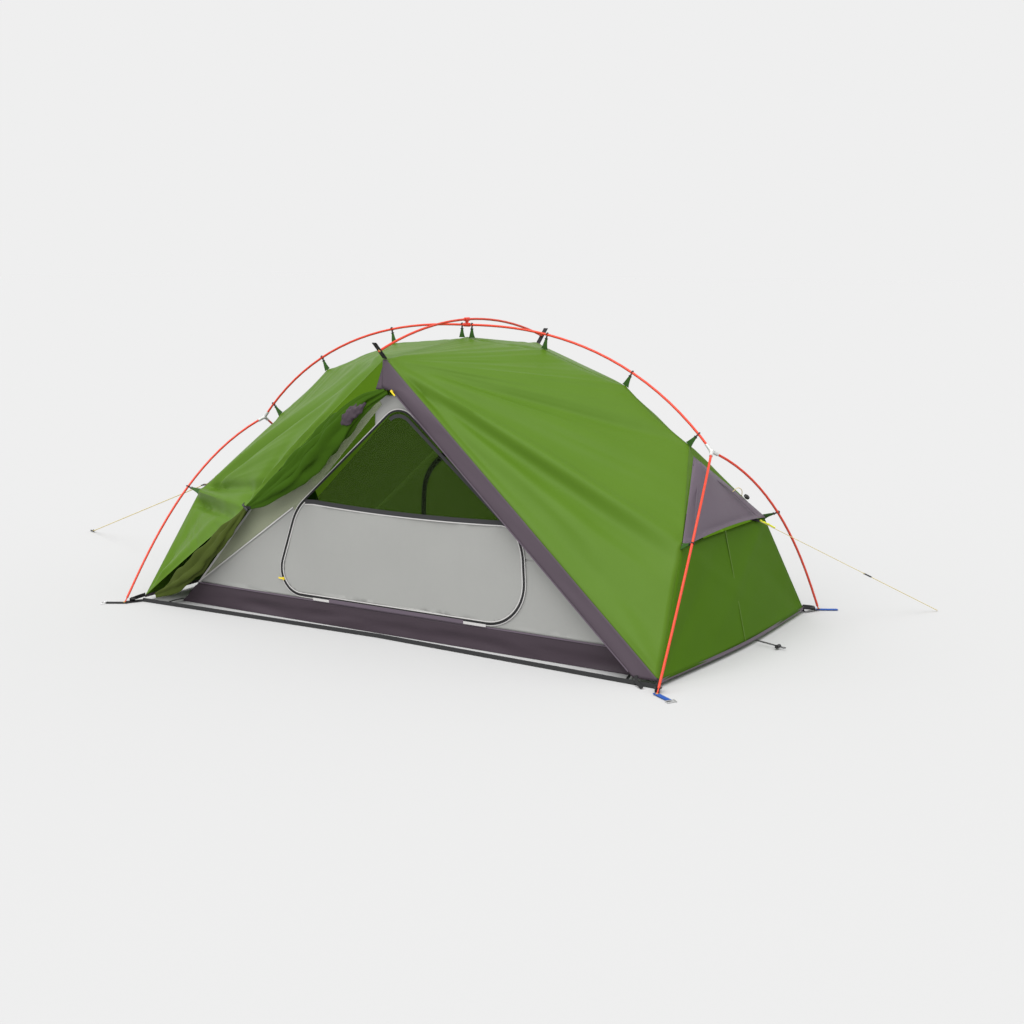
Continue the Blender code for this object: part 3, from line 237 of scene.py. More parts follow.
def grain_group() -> bpy.types.NodeTree:
    """Fine grain and slight wear of a moulded or coated part.

    Returns:
        The group: Vector, Color, Worn and Roughness in; Color, Height and Roughness out.
    """
    group = new_group(
        "moulded_grain",
        {
            "Vector": ("Vector", None),
            "Color": ("Color", (0.5, 0.5, 0.5, 1)),
            "Worn": ("Color", (0.6, 0.6, 0.6, 1)),
            "Roughness": ("Float", 0.5),
        },
        {"Color": "Color", "Height": "Float", "Roughness": "Float"},
    )
    entry, leave = ends_of(group)
    links, nodes = group.links, group.nodes
    fine = nodes.new("ShaderNodeTexNoise")
    fine.inputs["Scale"].default_value = 900.0
    fine.inputs["Detail"].default_value = 2.0
    broad = nodes.new("ShaderNodeTexNoise")
    broad.inputs["Scale"].default_value = 30.0
    broad.inputs["Detail"].default_value = 6.0
    for node in (fine, broad):
        links.new(entry.outputs["Vector"], node.inputs["Vector"])
    links.new(fine.outputs["Fac"], leave.inputs["Height"])
    worn = math_node(
        group, "MULTIPLY", math_node(group, "GREATER_THAN", broad.outputs["Fac"], 0.62), 0.25
    )
    mix = nodes.new("ShaderNodeMix")
    mix.data_type = "RGBA"
    links.new(worn, mix.inputs["Factor"])
    links.new(entry.outputs["Color"], mix.inputs["A"])
    links.new(entry.outputs["Worn"], mix.inputs["B"])
    links.new(mix.outputs["Result"], leave.inputs["Color"])
    shift = math_node(group, "MULTIPLY", broad.outputs["Fac"], 0.15)
    links.new(
        math_node(group, "ADD", entry.outputs["Roughness"], shift), leave.inputs["Roughness"]
    )
    return group


class Groups:
    """The shared effects, each built the first time it is asked for."""

    made: dict[str, bpy.types.NodeTree] = {}

    @classmethod
    def get(cls, pattern: Pattern | None) -> bpy.types.NodeTree:
        """The group for a cloth's pattern, or the moulded grain for None."""
        key = pattern.value if pattern else "grain"
        if key not in cls.made:
            if pattern is None:
                cls.made[key] = grain_group()
            else:
                period, thread = {
                    Pattern.PLAIN: (0.0012, 0.02),
                    Pattern.RIPSTOP: (0.0010, 0.006),
                    Pattern.NET: (0.0020, 0.02),
                    Pattern.WEBBING: (0.0022, 0.02),
                }[pattern]
                cls.made[key] = weave_group(f"{key}_weave", period, thread)
        return cls.made[key]


# ---------------------------------------------------------------- finishes


@dataclass(frozen=True)
class Finish:
    """A moulded, coated or bare metal surface."""

    name: str
    color: Color
    worn: Color
    roughness: float = 0.5
    metallic: float = 0.0
    coat: float = 0.0
    grain: float = 0.08

    def shader(self) -> tuple[bpy.types.Material, bpy.types.Node]:
        """Makes the material.

        Returns:
            The material and its Principled shader.
        """
        material = bpy.data.materials.new(self.name)
        material.use_nodes = True
        shader = material.node_tree.nodes["Principled BSDF"]
        shader.inputs["Metallic"].default_value = self.metallic
        shader.inputs["Coat Weight"].default_value = self.coat
        return material, shader

    def wire(
        self, material: bpy.types.Material, shader: bpy.types.Node, group: bpy.types.Node
    ) -> None:
        """Joins a group's outputs to the shader, its height through a Bump.

        Args:
            material: the material.
            shader: its Principled shader.
            group: the placed group.
        """
        tree = material.node_tree
        bump = tree.nodes.new("ShaderNodeBump")
        bump.inputs["Strength"].default_value = self.grain
        bump.inputs["Distance"].default_value = 0.0004
        tree.links.new(group.outputs["Height"], bump.inputs["Height"])
        tree.links.new(bump.outputs["Normal"], shader.inputs["Normal"])
        tree.links.new(group.outputs["Color"], shader.inputs["Base Color"])
        tree.links.new(group.outputs["Roughness"], shader.inputs["Roughness"])

    def material(self) -> bpy.types.Material:
        """The material, made once and shared."""
        found = bpy.data.materials.get(self.name)
        if found:
            return found
        material, shader = self.shader()
        tree = material.node_tree
        group = tree.nodes.new("ShaderNodeGroup")
        group.node_tree = Groups.get(None)
        group.inputs["Color"].default_value = (*self.color, 1)
        group.inputs["Worn"].default_value = (*self.worn, 1)
        group.inputs["Roughness"].default_value = self.roughness
        coordinates = tree.nodes.new("ShaderNodeTexCoord")
        tree.links.new(coordinates.outputs["Object"], group.inputs["Vector"])
        self.wire(material, shader, group)
        return material


@dataclass(frozen=True)
class Cloth(Finish):
    """A woven surface."""

    pattern: Pattern = Pattern.PLAIN
    mottle: float = 0.3
    thick: float = 0.0
    sheen: float = 0.0
    cover: float = 1.0
    uses_uv: bool = True
    gloss: float = 0.25
    glow: float = 0.0

    def material(self) -> bpy.types.Material:
        """The material, made once and shared."""
        found = bpy.data.materials.get(self.name)
        if found:
            return found
        material, shader = self.shader()
        tree = material.node_tree
        shader.inputs["Sheen Weight"].default_value = self.sheen
        shader.inputs["Specular IOR Level"].default_value = self.gloss
        shader.inputs["Sheen Roughness"].default_value = 0.4
        group = tree.nodes.new("ShaderNodeGroup")
        group.node_tree = Groups.get(self.pattern)
        group.inputs["Color"].default_value = (*self.color, 1)
        group.inputs["Shade"].default_value = (*self.worn, 1)
        group.inputs["Mottle"].default_value = self.mottle
        group.inputs["Thick"].default_value = self.thick
        group.inputs["Roughness"].default_value = self.roughness
        coordinates = tree.nodes.new("ShaderNodeTexCoord")
        source = "UV" if self.uses_uv else "Object"
        tree.links.new(coordinates.outputs[source], group.inputs["Vector"])
        self.wire(material, shader, group)
        if self.glow:
            tree.links.new(group.outputs["Color"], shader.inputs["Emission Color"])
            shader.inputs["Emission Strength"].default_value = self.glow
        if self.cover < 1:
            holes = math_node(tree, "MULTIPLY", group.outputs["Height"], 0.3)
            tree.links.new(
                math_node(tree, "ADD", holes, self.cover - 0.15), shader.inputs["Alpha"]
            )
        return material


POLE = Finish("anodised_pole", (0.66, 0.040, 0.010), (0.75, 0.08, 0.03), 0.38, 0.05, 0.1, 0.03)
CLIP = Finish("swivel_plastic", (0.68, 0.035, 0.015), (0.8, 0.1, 0.06), 0.4)
HUB = Finish("hub_casting", (0.60, 0.60, 0.59), (0.8, 0.8, 0.8), 0.38, 0.25)
BLACK = Finish("black_plastic", (0.012, 0.012, 0.013), (0.05, 0.05, 0.05), 0.38)
BRASS = Finish("brass_eyelet", (0.72, 0.47, 0.16), (0.9, 0.7, 0.35), 0.3, 1.0)
STEEL = Finish("bright_steel", (0.62, 0.62, 0.62), (0.8, 0.8, 0.8), 0.25, 1.0)
YELLOW = Finish("yellow_pull", (0.80, 0.62, 0.02), (0.9, 0.8, 0.2), 0.4)

def ripstop(name: str, color: Color, shade: Color, roughness: float = 0.46, mottle: float = 0.35,
            gloss: float = 0.14, glow: float = 0.0) -> Cloth:
    """The fly's coated cloth."""
    return Cloth(
        name, color, shade, roughness, grain=0.10, pattern=Pattern.RIPSTOP, mottle=mottle,
        thick=0.3, gloss=gloss, glow=glow,
    )


def webbing(name: str, color: Color, shade: Color, roughness: float, grain: float = 0.4,
            mottle: float = 0.4, uses_uv: bool = True) -> Cloth:
    """A narrow woven strap, tape or cord."""
    return Cloth(
        name, color, shade, roughness, grain=grain, pattern=Pattern.WEBBING, mottle=mottle,
        uses_uv=uses_uv,
    )


FLY = ripstop("fly_ripstop", (0.078, 0.160, 0.010), (0.056, 0.122, 0.007))
# The far side's lining glows a little, which stands in for daylight through the cloth.
FAR_FLY = ripstop("fly_ripstop_far", FLY.color, FLY.worn, glow=1.25)
# A darker copy of the fly cloth for the end walls: painted shade, as they face away from the key
# light. It also has less gloss.
SHADED_END_FLY = ripstop("fly_ripstop_end", (0.062, 0.140, 0.007), (0.048, 0.112, 0.005), 0.6, gloss=0.04)
# A duller, darker copy of the fly cloth for the lower door roll: painted shade where it lies under
# the fly's edge.
SHADED_TUCKED_FLY = ripstop("fly_ripstop_tucked", (0.052, 0.072, 0.010), (0.034, 0.050, 0.008), 0.6, 0.5, 0.1)
# A darker copy of the fly cloth for the rolled door: painted shade for the shadows between its
# folds.
SHADED_ROLLED_FLY = ripstop(
    "fly_ripstop_rolled", (0.036, 0.088, 0.004), (0.022, 0.054, 0.003), 0.5, 0.5, 0.05
)
FLAP = Cloth(
    "flap_weave", (0.115, 0.090, 0.115), (0.088, 0.068, 0.090), grain=0.12, mottle=0.4, sheen=0.05
)
# A darker copy of the flap cloth for the storm flap and the gusset: painted shade, set to the
# strip's average where it darkens towards the top in shade.
SHADED_FLAP_STRIP = Cloth(
    "flap_strip_weave", (0.082, 0.063, 0.078), (0.064, 0.048, 0.062), grain=0.12, mottle=0.4,
    gloss=0.15,
)
FLOOR = Cloth(
    "floor_coated", (0.052, 0.037, 0.048), (0.036, 0.026, 0.034), grain=0.12, mottle=0.4
)
INNER = Cloth(
    "inner_weave", (0.315, 0.317, 0.303), (0.270, 0.272, 0.262), 0.75, mottle=0.4, gloss=0.15
)
SHEER = Cloth(
    "sheer_weave", (0.420, 0.450, 0.320), (0.370, 0.400, 0.280), 0.75, grain=0.05,
    pattern=Pattern.NET, cover=0.50, gloss=0.1,
)
NET = Cloth(
    "window_net", (0.016, 0.024, 0.010), (0.010, 0.016, 0.008), 0.8, grain=0.05,
    pattern=Pattern.NET, mottle=0.2, cover=0.32, gloss=0.05,
)
PIPING = webbing("white_piping", (0.52, 0.51, 0.50), (0.44, 0.43, 0.43), 0.7, 0.2, 0.3)
BINDING = webbing("dark_binding", (0.030, 0.030, 0.032), (0.05, 0.05, 0.05), 0.75, 0.3)
STRAP = webbing("black_webbing", (0.012, 0.012, 0.013), (0.03, 0.03, 0.03), 0.7)
TAB = webbing("green_webbing", (0.028, 0.090, 0.010), (0.016, 0.05, 0.008), 0.65)
BLUE = webbing("blue_webbing", (0.02, 0.085, 0.36), (0.015, 0.05, 0.22), 0.65)
PALE_CORD = webbing("pale_cord", (0.66, 0.56, 0.27), (0.5, 0.4, 0.15), 0.7, 0.4, 0.5, False)
BRIGHT_CORD = webbing("bright_cord", (0.72, 0.74, 0.03), (0.5, 0.52, 0.02), 0.7, 0.4, 0.5, False)
BLACK_CORD = webbing("black_cord", (0.014, 0.014, 0.015), (0.04, 0.04, 0.04), 0.7, 0.4, 0.5, False)

CLOTH_THICKNESS = 0.0008
TAPE_THICKNESS = 0.0016


# ---------------------------------------------------------------- making pieces


def add_piece(
    name: str, bm: bmesh.types.BMesh, finish: Finish, smooth: bool = True
) -> bpy.types.Object:
    """Makes a bmesh into a piece at the origin.

    Args:
        name: the piece's name.
        bm: its shape, which is freed.
        finish: its surface.
        smooth: shade smooth, with sharp edges over 40 degrees.

    Returns:
        The object.
    """
    mesh = bpy.data.meshes.new(name)
    bm.to_mesh(mesh)
    bm.free()
    if smooth:
        mesh.shade_smooth()
        mesh.set_sharp_from_angle(angle=math.radians(40))
    obj = bpy.data.objects.new(name, mesh)
    obj.data.materials.append(finish.material())
    bpy.context.scene.collection.objects.link(obj)
    return obj


def fixed(name: str, bm: bmesh.types.BMesh, finish: Finish) -> bpy.types.Object:
    """Makes a piece that stands still with the tent. The arguments are add_piece's."""
    obj = add_piece(name, bm, finish)
    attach(obj, "tent")
    log.info("piece %s", name)
    return obj


def thicken(obj: bpy.types.Object, thickness: float, offset: float = 0.0) -> bpy.types.Object:
    """Gives a sheet its thickness."""
    modifier = obj.modifiers.new("Thickness", "SOLIDIFY")
    modifier.thickness = thickness
    modifier.offset = offset
    return obj


def grid_surface(
    nu: int, nv: int, place: Place, scale: tuple[float, float] = (1.0, 1.0)
) -> bmesh.types.BMesh:
    """A grid bent to a shape.

    Args:
        nu: steps along the first way.
        nv: steps along the second.
        place: the point for (u, v), each from 0 to 1.
        scale: the UV map's size in metres along the two ways.

    Returns:
        The sheet.
    """
    bm = bmesh.new()
    bmesh.ops.create_grid(bm, x_segments=nu, y_segments=nv, size=0.5, calc_uvs=True)
    layer = bm.loops.layers.uv.verify()
    for face in bm.faces:
        for loop in face.loops:
            loop[layer].uv = ((loop.vert.co.x + 0.5) * scale[0], (loop.vert.co.y + 0.5) * scale[1])
    for vert in bm.verts:
        vert.co = place(vert.co.x + 0.5, vert.co.y + 0.5)
    return bm


def tube(
    nu: int, nv: int, place: Place, scale: tuple[float, float] = (1.0, 1.0)
) -> bmesh.types.BMesh:
    """A grid rolled into a closed tube, with its ends filled. place repeats after v = 1."""
    bm = grid_surface(nu, nv, place, scale)
    bmesh.ops.remove_doubles(bm, verts=bm.verts, dist=1e-6)
    bmesh.ops.holes_fill(bm, edges=[e for e in bm.edges if len(e.link_faces) == 1], sides=0)
    bmesh.ops.recalc_face_normals(bm, faces=bm.faces)
    return bm


class Line:
    """A curve through points, read by its length, with a steady frame."""

    def __init__(self, points: Sequence[Vector], up: Vector, closed: bool = False) -> None:
        self.points = [Vector(p) for p in points] + ([Vector(points[0])] if closed else [])
        self.closed = closed
        self.marks = [0.0]
        for a, b in zip(self.points, self.points[1:]):
            self.marks.append(self.marks[-1] + (b - a).length)
        self.length = self.marks[-1]
        self.up = Vector(up)

    def at(self, s: float) -> Vector:
        """The point at a share of the length."""
        goal = min(max(s, 0.0), 1.0) * self.length
        i = 0
        while i < len(self.marks) - 2 and self.marks[i + 1] < goal:
            i += 1
        span = max(self.marks[i + 1] - self.marks[i], 1e-9)
        return self.points[i].lerp(self.points[i + 1], (goal - self.marks[i]) / span)

    def frame(self, s: float) -> tuple[Vector, Vector, Vector, Vector]:
        """(point, along, side, up) at a share of the length."""
        step = 0.004 / max(self.length, 0.01)
        if self.closed:
            a, b = self.at((s - step) % 1.0), self.at((s + step) % 1.0)
        else:
            a, b = self.at(s - step), self.at(s + step)
        along = (b - a).normalized()
        side = along.cross(self.up).normalized()
        return self.at(s), along, side, side.cross(along)


def smooth_line(points: Sequence[Vector], up: Vector = Vector((0, 0, 1)), per: int = 12) -> Line:
    """A Catmull-Rom curve through points."""
    points = [Vector(p) for p in points]
    full = [points[0] * 2 - points[1], *points, points[-1] * 2 - points[-2]]
    found = []
    for a, b, c, d in zip(full, full[1:], full[2:], full[3:]):
        for k in range(per):
            t = k / per
            found.append(
                (
                    b * 2 + (c - a) * t + (a * 2 - b * 5 + c * 4 - d) * t**2
                    + (b * 3 - a - c * 3 + d) * t**3
                ) / 2
            )
    return Line([*found, points[-1]], up)


def band(line: Line, width: float, thickness: float, lift: float = 0.0, steps: int = 0,
         shape: Callable[[float], float] = lambda s: 1.0) -> bmesh.types.BMesh:
    """A flat strap along a line, its width across the line's side.

    Args:
        line: the route.
        width: of the strap.
        thickness: of the strap.
        lift: how far its middle stands off the line, along its up.
        steps: rings along it, or 0 for one each 15 mm.
        shape: the share of the width at each share of the length.

    Returns:
        The closed strap.
    """
    steps = steps or max(2, round(line.length / 0.015))
    corners = ((-0.5, -0.5), (0.5, -0.5), (0.5, 0.5), (-0.5, 0.5))

    def place(u: float, v: float) -> Vector:
        point, _, side, up = line.frame(u)
        across, height = corners[round(v * 4) % 4]
        return point + side * (across * width * shape(u)) + up * (lift + height * thickness)

    return tube(steps, 4, place, (line.length, 2 * width))


def rod(line: Line, radius: float, sides: int = 8, steps: int = 0,
        shape: Callable[[float], float] = lambda s: 1.0) -> bmesh.types.BMesh:
    """A round bar along a line, its radius scaled along the length."""
    steps = steps or max(2, round(line.length / 0.01))

    def place(u: float, v: float) -> Vector:
        point, _, side, up = line.frame(u)
        angle = math.tau * v
        return point + (side * math.cos(angle) + up * math.sin(angle)) * (radius * shape(u))

    return tube(steps, sides, place, (line.length, math.tau * radius))


def merged(shapes: Iterable[bmesh.types.BMesh]) -> bmesh.types.BMesh:
    """Several shapes in one bmesh."""
    whole = bmesh.new()
    for shape in shapes:
        mesh = bpy.data.meshes.new("part")
        shape.to_mesh(mesh)
        shape.free()
        whole.from_mesh(mesh)
        bpy.data.meshes.remove(mesh)
    return whole


def box_shape(
    center: Vector, axes: Sequence[Vector], size: Sequence[float], bevel: float
) -> bmesh.types.BMesh:
    """A block with softened edges."""
    bm = bmesh.new()
    bmesh.ops.create_cube(bm, size=1.0)
    turn = Matrix([axes[i] * size[i] for i in range(3)]).transposed().to_4x4()
    bmesh.ops.transform(bm, matrix=Matrix.Translation(center) @ turn, verts=bm.verts)
    bmesh.ops.bevel(
        bm, geom=bm.edges[:], offset=bevel, affect="EDGES", segments=2, profile=0.5, material=-1
    )
    bmesh.ops.recalc_face_normals(bm, faces=bm.faces)
    return bm


def torus(
    center: Vector, normal: Vector, radius: float, wire: float, start: float = 0.0,
    turn: float = math.tau, first: Vector | None = None,
) -> bmesh.types.BMesh:
    """A ring, or an open hook, of round wire about a centre."""
    normal = normal.normalized()
    base = first.normalized() if first else normal.orthogonal().normalized()
    other = normal.cross(base)
    whole = turn >= math.tau - 1e-6

    def place(u: float, v: float) -> Vector:
        angle = start + turn * (u % 1.0 if whole else u)
        outward = base * math.cos(angle) + other * math.sin(angle)
        around = math.tau * v
        return center + outward * (
            radius + wire * math.cos(around)
        ) + normal * (wire * math.sin(around))

    return tube(24, 8, place)


def mirror(point: Sequence[float], side: Side, face: Face) -> Vector:
    """A place at the back right, taken to another quarter."""
    return Vector((point[0] * side.value, point[1] * face.value, point[2]))


# ---------------------------------------------------------------- fabric panels


@dataclass(frozen=True)
class Crease:
    """A fold that runs from one place to another across a panel."""

    start: Vector
    end: Vector
    height: float
    width: float
    spread: float = 1.0

    def lift(self, point: Vector) -> float:
        """How far it raises the cloth at a point."""
        _, share = intersect_point_line(point, self.start, self.end)
        if share <= 0 or share >= 1:
            return 0.0
        foot = self.start.lerp(self.end, share)
        width = self.width * (1 + (self.spread - 1) * share)
        away = (point - foot).length / width
        return self.height * math.exp(-away * away) * min(1.0, share * 9) * (1 - share) ** 0.5


@dataclass
class Panel:
    """A taut piece of cloth between seams: flat faces between corners, eased into one."""

    name: str
    corners: dict[str, Vector]
    faces: Sequence[Sequence[str]]
    cuts: int = 24
    ease: int = 14
    sags: dict[tuple[str, str], Vector] = field(default_factory=dict)
    creases: Sequence[Crease] = ()
    ripple: float = 0.0015
    source: Vector | None = None
    facing: Vector = field(default_factory=lambda: Vector((0, -1, 0)))
    hold: float = 0.03

    def sheet(self) -> bmesh.types.BMesh:
        """The finished sheet, with its UV map in metres."""
        bm = bmesh.new()
        verts = {key: bm.verts.new(place) for key, place in self.corners.items()}
        for face in self.faces:
            bm.faces.new([verts[key] for key in face])
        bmesh.ops.subdivide_edges(bm, edges=bm.edges[:], cuts=self.cuts, use_grid_fill=True)
        bmesh.ops.triangulate(bm, faces=[f for f in bm.faces if len(f.verts) > 4])
        rim = {v for e in bm.edges if len(e.link_faces) == 1 for v in e.verts}
        self.bend_rim(rim)
        inner = [v for v in bm.verts if v not in rim]
        for _ in range(self.ease):
            bmesh.ops.smooth_vert(
                bm, verts=inner, factor=0.5, use_axis_x=True, use_axis_y=True, use_axis_z=True
            )
        self.turn_out(bm)
        self.fold(bm, rim)
        self.map_cloth(bm)
        return bm

    def bend_rim(self, rim: Iterable[bmesh.types.BMVert]) -> None:
        """Sags the named edges between their corners."""
        for (a, b), sag in self.sags.items():
            start, end = self.corners[a], self.corners[b]
            for vert in rim:
                foot, share = intersect_point_line(vert.co, start, end)
                if 0 < share < 1 and (vert.co - foot).length < 1e-4:
                    vert.co = vert.co + sag * (4 * share * (1 - share))

    def turn_out(self, bm: bmesh.types.BMesh) -> None:
        """Makes the sheet face the way it is meant to."""
        bmesh.ops.recalc_face_normals(bm, faces=bm.faces)
        bm.normal_update()
        total = sum((f.normal * f.calc_area() for f in bm.faces), Vector())
        if total.dot(self.facing) < 0:
            bmesh.ops.reverse_faces(bm, faces=bm.faces)
        bm.normal_update()

    def fold(self, bm: bmesh.types.BMesh, rim: set[bmesh.types.BMVert]) -> None:
        """Raises the creases and fine ripples, fading out at the seams."""
        lifts = {}
        edges = [
            (e.verts[0].co.copy(), e.verts[1].co.copy())
            for e in bm.edges if len(e.link_faces) == 1
        ]
        mesh = bmesh.new()
        for a, b in edges:
            mesh.faces.new(
                [
                    mesh.verts.new(a), mesh.verts.new(b),
                    mesh.verts.new((a + b) / 2 + Vector((0, 0, 1e-5)))
                ]
            )
        tree = BVHTree.FromBMesh(mesh)
        for vert in bm.verts:
            if vert in rim:
                continue
            away = tree.find_nearest(vert.co)[3]
            fade = min(1.0, away / self.hold)
            fade = fade * fade * (3 - 2 * fade)
            lift = sum(crease.lift(vert.co) for crease in self.creases)
            lifts[vert] = (lift + self.fine(vert.co)) * fade
        mesh.free()
        for vert, lift in lifts.items():
            vert.co = vert.co + vert.normal * lift

    def fine(self, point: Vector) -> float:
        """Small ripples, which fan out from the panel's source where it has one."""
        if self.source is None:
            return self.ripple * noise.noise(point * 7.0)
        arm = point - self.source
        far = arm.length
        way = arm.normalized()
        sample = Vector((way.x * 9.0, way.y * 9.0 + way.z * 9.0, far * 1.3))
        return self.ripple * (
            noise.noise(sample) + 0.5 * noise.noise(sample * 2.3)
        ) * min(1.0, far * 2.5)

    def map_cloth(self, bm: bmesh.types.BMesh) -> None:
        """UV map: metres on the plane that the panel faces."""
        layer = bm.loops.layers.uv.verify()
        normal = sum((f.normal * f.calc_area() for f in bm.faces), Vector()).normalized()
        across = normal.cross(Vector((0, 0, 1)))
        across = across.normalized() if across.length > 0.1 else Vector((1, 0, 0))
        upward = normal.cross(across)
        for face in bm.faces:
            for loop in face.loops:
                loop[layer].uv = (loop.vert.co.dot(across), loop.vert.co.dot(upward))

    def area(self) -> float:
        """The panel's flat area in square metres."""
        total = 0.0
        for face in self.faces:
            places = [self.corners[key] for key in face]
            for b, c in zip(places[1:], places[2:]):
                total += (b - places[0]).cross(c - places[0]).length / 2
        return total


def cut_size(points: Sequence[Vector]) -> tuple[float, float]:
    """The smallest rectangle round a flat cut.

    Args:
        points: the cut's outline, flat, in metres.

    Returns:
        Its width and its length.
    """
    best = (math.inf, 1.0, 1.0)
    for degrees in range(90):
        turn = Matrix.Rotation(math.radians(degrees), 2)
        turned = [turn @ Vector((p[0], p[1])) for p in points]
        across = max(p.x for p in turned) - min(p.x for p in turned)
        along = max(p.y for p in turned) - min(p.y for p in turned)
        best = min(best, (across * along, min(across, along), max(across, along)))
    return best[1], best[2]


def strip_cut(rows: Sequence[tuple[float, float, float]],
              slope: float = 1.0) -> tuple[tuple[float, float], float]:
    """The flat size and the area of a long strip.

    Args:
        rows: its left x, right x and height, from the top down.
        slope: the true length of one metre of height.

    Returns:
        (width, length) and the area.
    """
    area = sum(
        (b - a + d - c) / 2 * (z - w) * slope for (a, b, z), (c, d, w) in zip(rows, rows[1:])
    )
    return cut_size([Vector((x, z * slope)) for a, b, z in rows for x in (a, b)]), area


def unrolled(corners: dict[str, Vector], faces: Sequence[Sequence[str]]) -> list[Vector]:
    """A panel's corners laid out flat, triangle by triangle over their shared edges.

    Args:
        corners: the corners in space.
        faces: its triangles, by corner name.

    Returns:
        The corners of every triangle, flat, in metres.
    """
    a, b, c = faces[0]
    flat: dict[tuple[str, ...], dict[str, Vector]] = {}

    def third(pa: Vector, pb: Vector, a: str, b: str, c: str, away: Vector | None) -> Vector:
        da, db, ab = ((corners[x] - corners[y]).length for x, y in ((a, c), (b, c), (a, b)))
        along = (da * da - db * db + ab * ab) / (2 * ab)
        up = math.sqrt(max(0.0, da * da - along * along))
        way = (pb - pa).normalized()
        side = Vector((-way.y, way.x))
        if away is not None and (away - pa).dot(side) > 0:
            side = -side
        return pa + way * along + side * up

    first = {a: Vector((0, 0)), b: Vector(((corners[b] - corners[a]).length, 0))}
    first[c] = third(first[a], first[b], a, b, c, None)
    flat[tuple(faces[0])] = first
    waiting = [tuple(face) for face in faces[1:]]
    while waiting:
        for face in waiting:
            host = next((f for f in flat if len(set(f) & set(face)) == 2), None)
            if host is None:
                continue
            p, q = sorted(set(host) & set(face))
            other = next(x for x in host if x not in (p, q))
            new = next(x for x in face if x not in (p, q))
            base = flat[host]
            flat[face] = {
                p: base[p], q: base[q], new: third(base[p], base[q], p, q, new, base[other])
            }
            waiting.remove(face)
            break
        else:
            raise ValueError("the panel's triangles don't join up")
    return [place for piece in flat.values() for place in piece.values()]


def make_panel(
    panel: Panel, finish: Finish, nodes: Sequence[str],
    thickness: float = CLOTH_THICKNESS, lining: Finish | None = None,
    hangs_from: Sequence[str] = (),
) -> bpy.types.Object:
    """Builds a panel as a sheet of cloth.

    Args:
        panel: its shape.
        finish: its cloth.
        nodes: the CAD nodes that it stands for.
        thickness: of the cloth.
        lining: the cloth's inner side, if it looks different.
        hangs_from: the pieces that hold it up; not used.

    Returns:
        The piece.
    """
    area = panel.area()
    obj = thicken(add_piece(panel.name, panel.sheet(), finish), thickness)
    if lining:
        obj.data.materials.append(lining.material())
        obj.modifiers["Thickness"].material_offset = 1
    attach(obj, "tent")
    if nodes:
        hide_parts(*nodes)
    flat = cut_size(unrolled(panel.corners, panel.faces))
    log.info("panel %s, %.2f square metres", panel.name, area)
    return obj


@dataclass
class Frame:
    """The places where the fly hangs from its poles."""

    apex: Vector = field(default_factory=lambda: Vector((0.0, 0.545, 1.060)))
    ridge: Sequence[Vector] = field(
        default_factory=lambda: (
            Vector((0.0, 0.0, 1.115)),
            Vector((0.3653, 0.0, 1.079)),
            Vector((0.7263, 0.0, 0.9529)),
            Vector((0.9962, 0.0, 0.7459)),
        )
    )
    hood_top: Vector = field(default_factory=lambda: Vector((1.0172, 0.0, 0.7038)))
    middle: Vector = field(default_factory=lambda: Vector((1.1516, 0.3601, 0.435)))
    ground: Vector = field(default_factory=lambda: Vector((1.215, 0.640, 0.020)))
    hem: Vector = field(default_factory=lambda: Vector((1.245, 0.0, 0.020)))
    pull_in: Vector = field(default_factory=lambda: Vector((-0.662, -0.601, 0.445)))

    def quarter(self, side: Side, face: Face) -> dict[str, Vector]:
        """The fly's corners in one quarter of the tent."""
        places = {f"R{i}": p for i, p in enumerate(self.ridge)}
        places |= {"T": self.hood_top, "M": self.middle, "G": self.ground, "A": self.apex}
        return {key: mirror(p, side, face) for key, p in places.items()}

    def front_y(self, z: float) -> float:
        """The front plane's distance from the ridge line."""
        share = (self.apex.z - z) / (self.apex.z - self.ground.z)
        return self.apex.y + (self.ground.y - self.apex.y) * share

    def edge_x(self, z: float) -> float:
        """The front edge's distance from the middle."""
        return self.ground.x * (self.apex.z - z) / (self.apex.z - self.ground.z)

    def on_front(self, x: float, z: float, out: float = 0.0) -> Vector:
        """A place on the fly's front plane, or out from it."""
        return Vector((x, -self.front_y(z) - out, z))


FRAME = Frame()
QUARTER = (
    ("A", "R0", "R1"), ("A", "R1", "R2"), ("A", "R2", "R3"), ("A", "R3", "M"), ("M", "R3", "T"),
    ("A", "M", "G")
)
RIDGE_SAG = {
    ("R0", "R1"): Vector((0, 0, -0.014)),
    ("R1", "R2"): Vector((-0.003, 0, -0.009)),
    ("R2", "R3"): Vector((-0.005, 0, -0.006)),
}


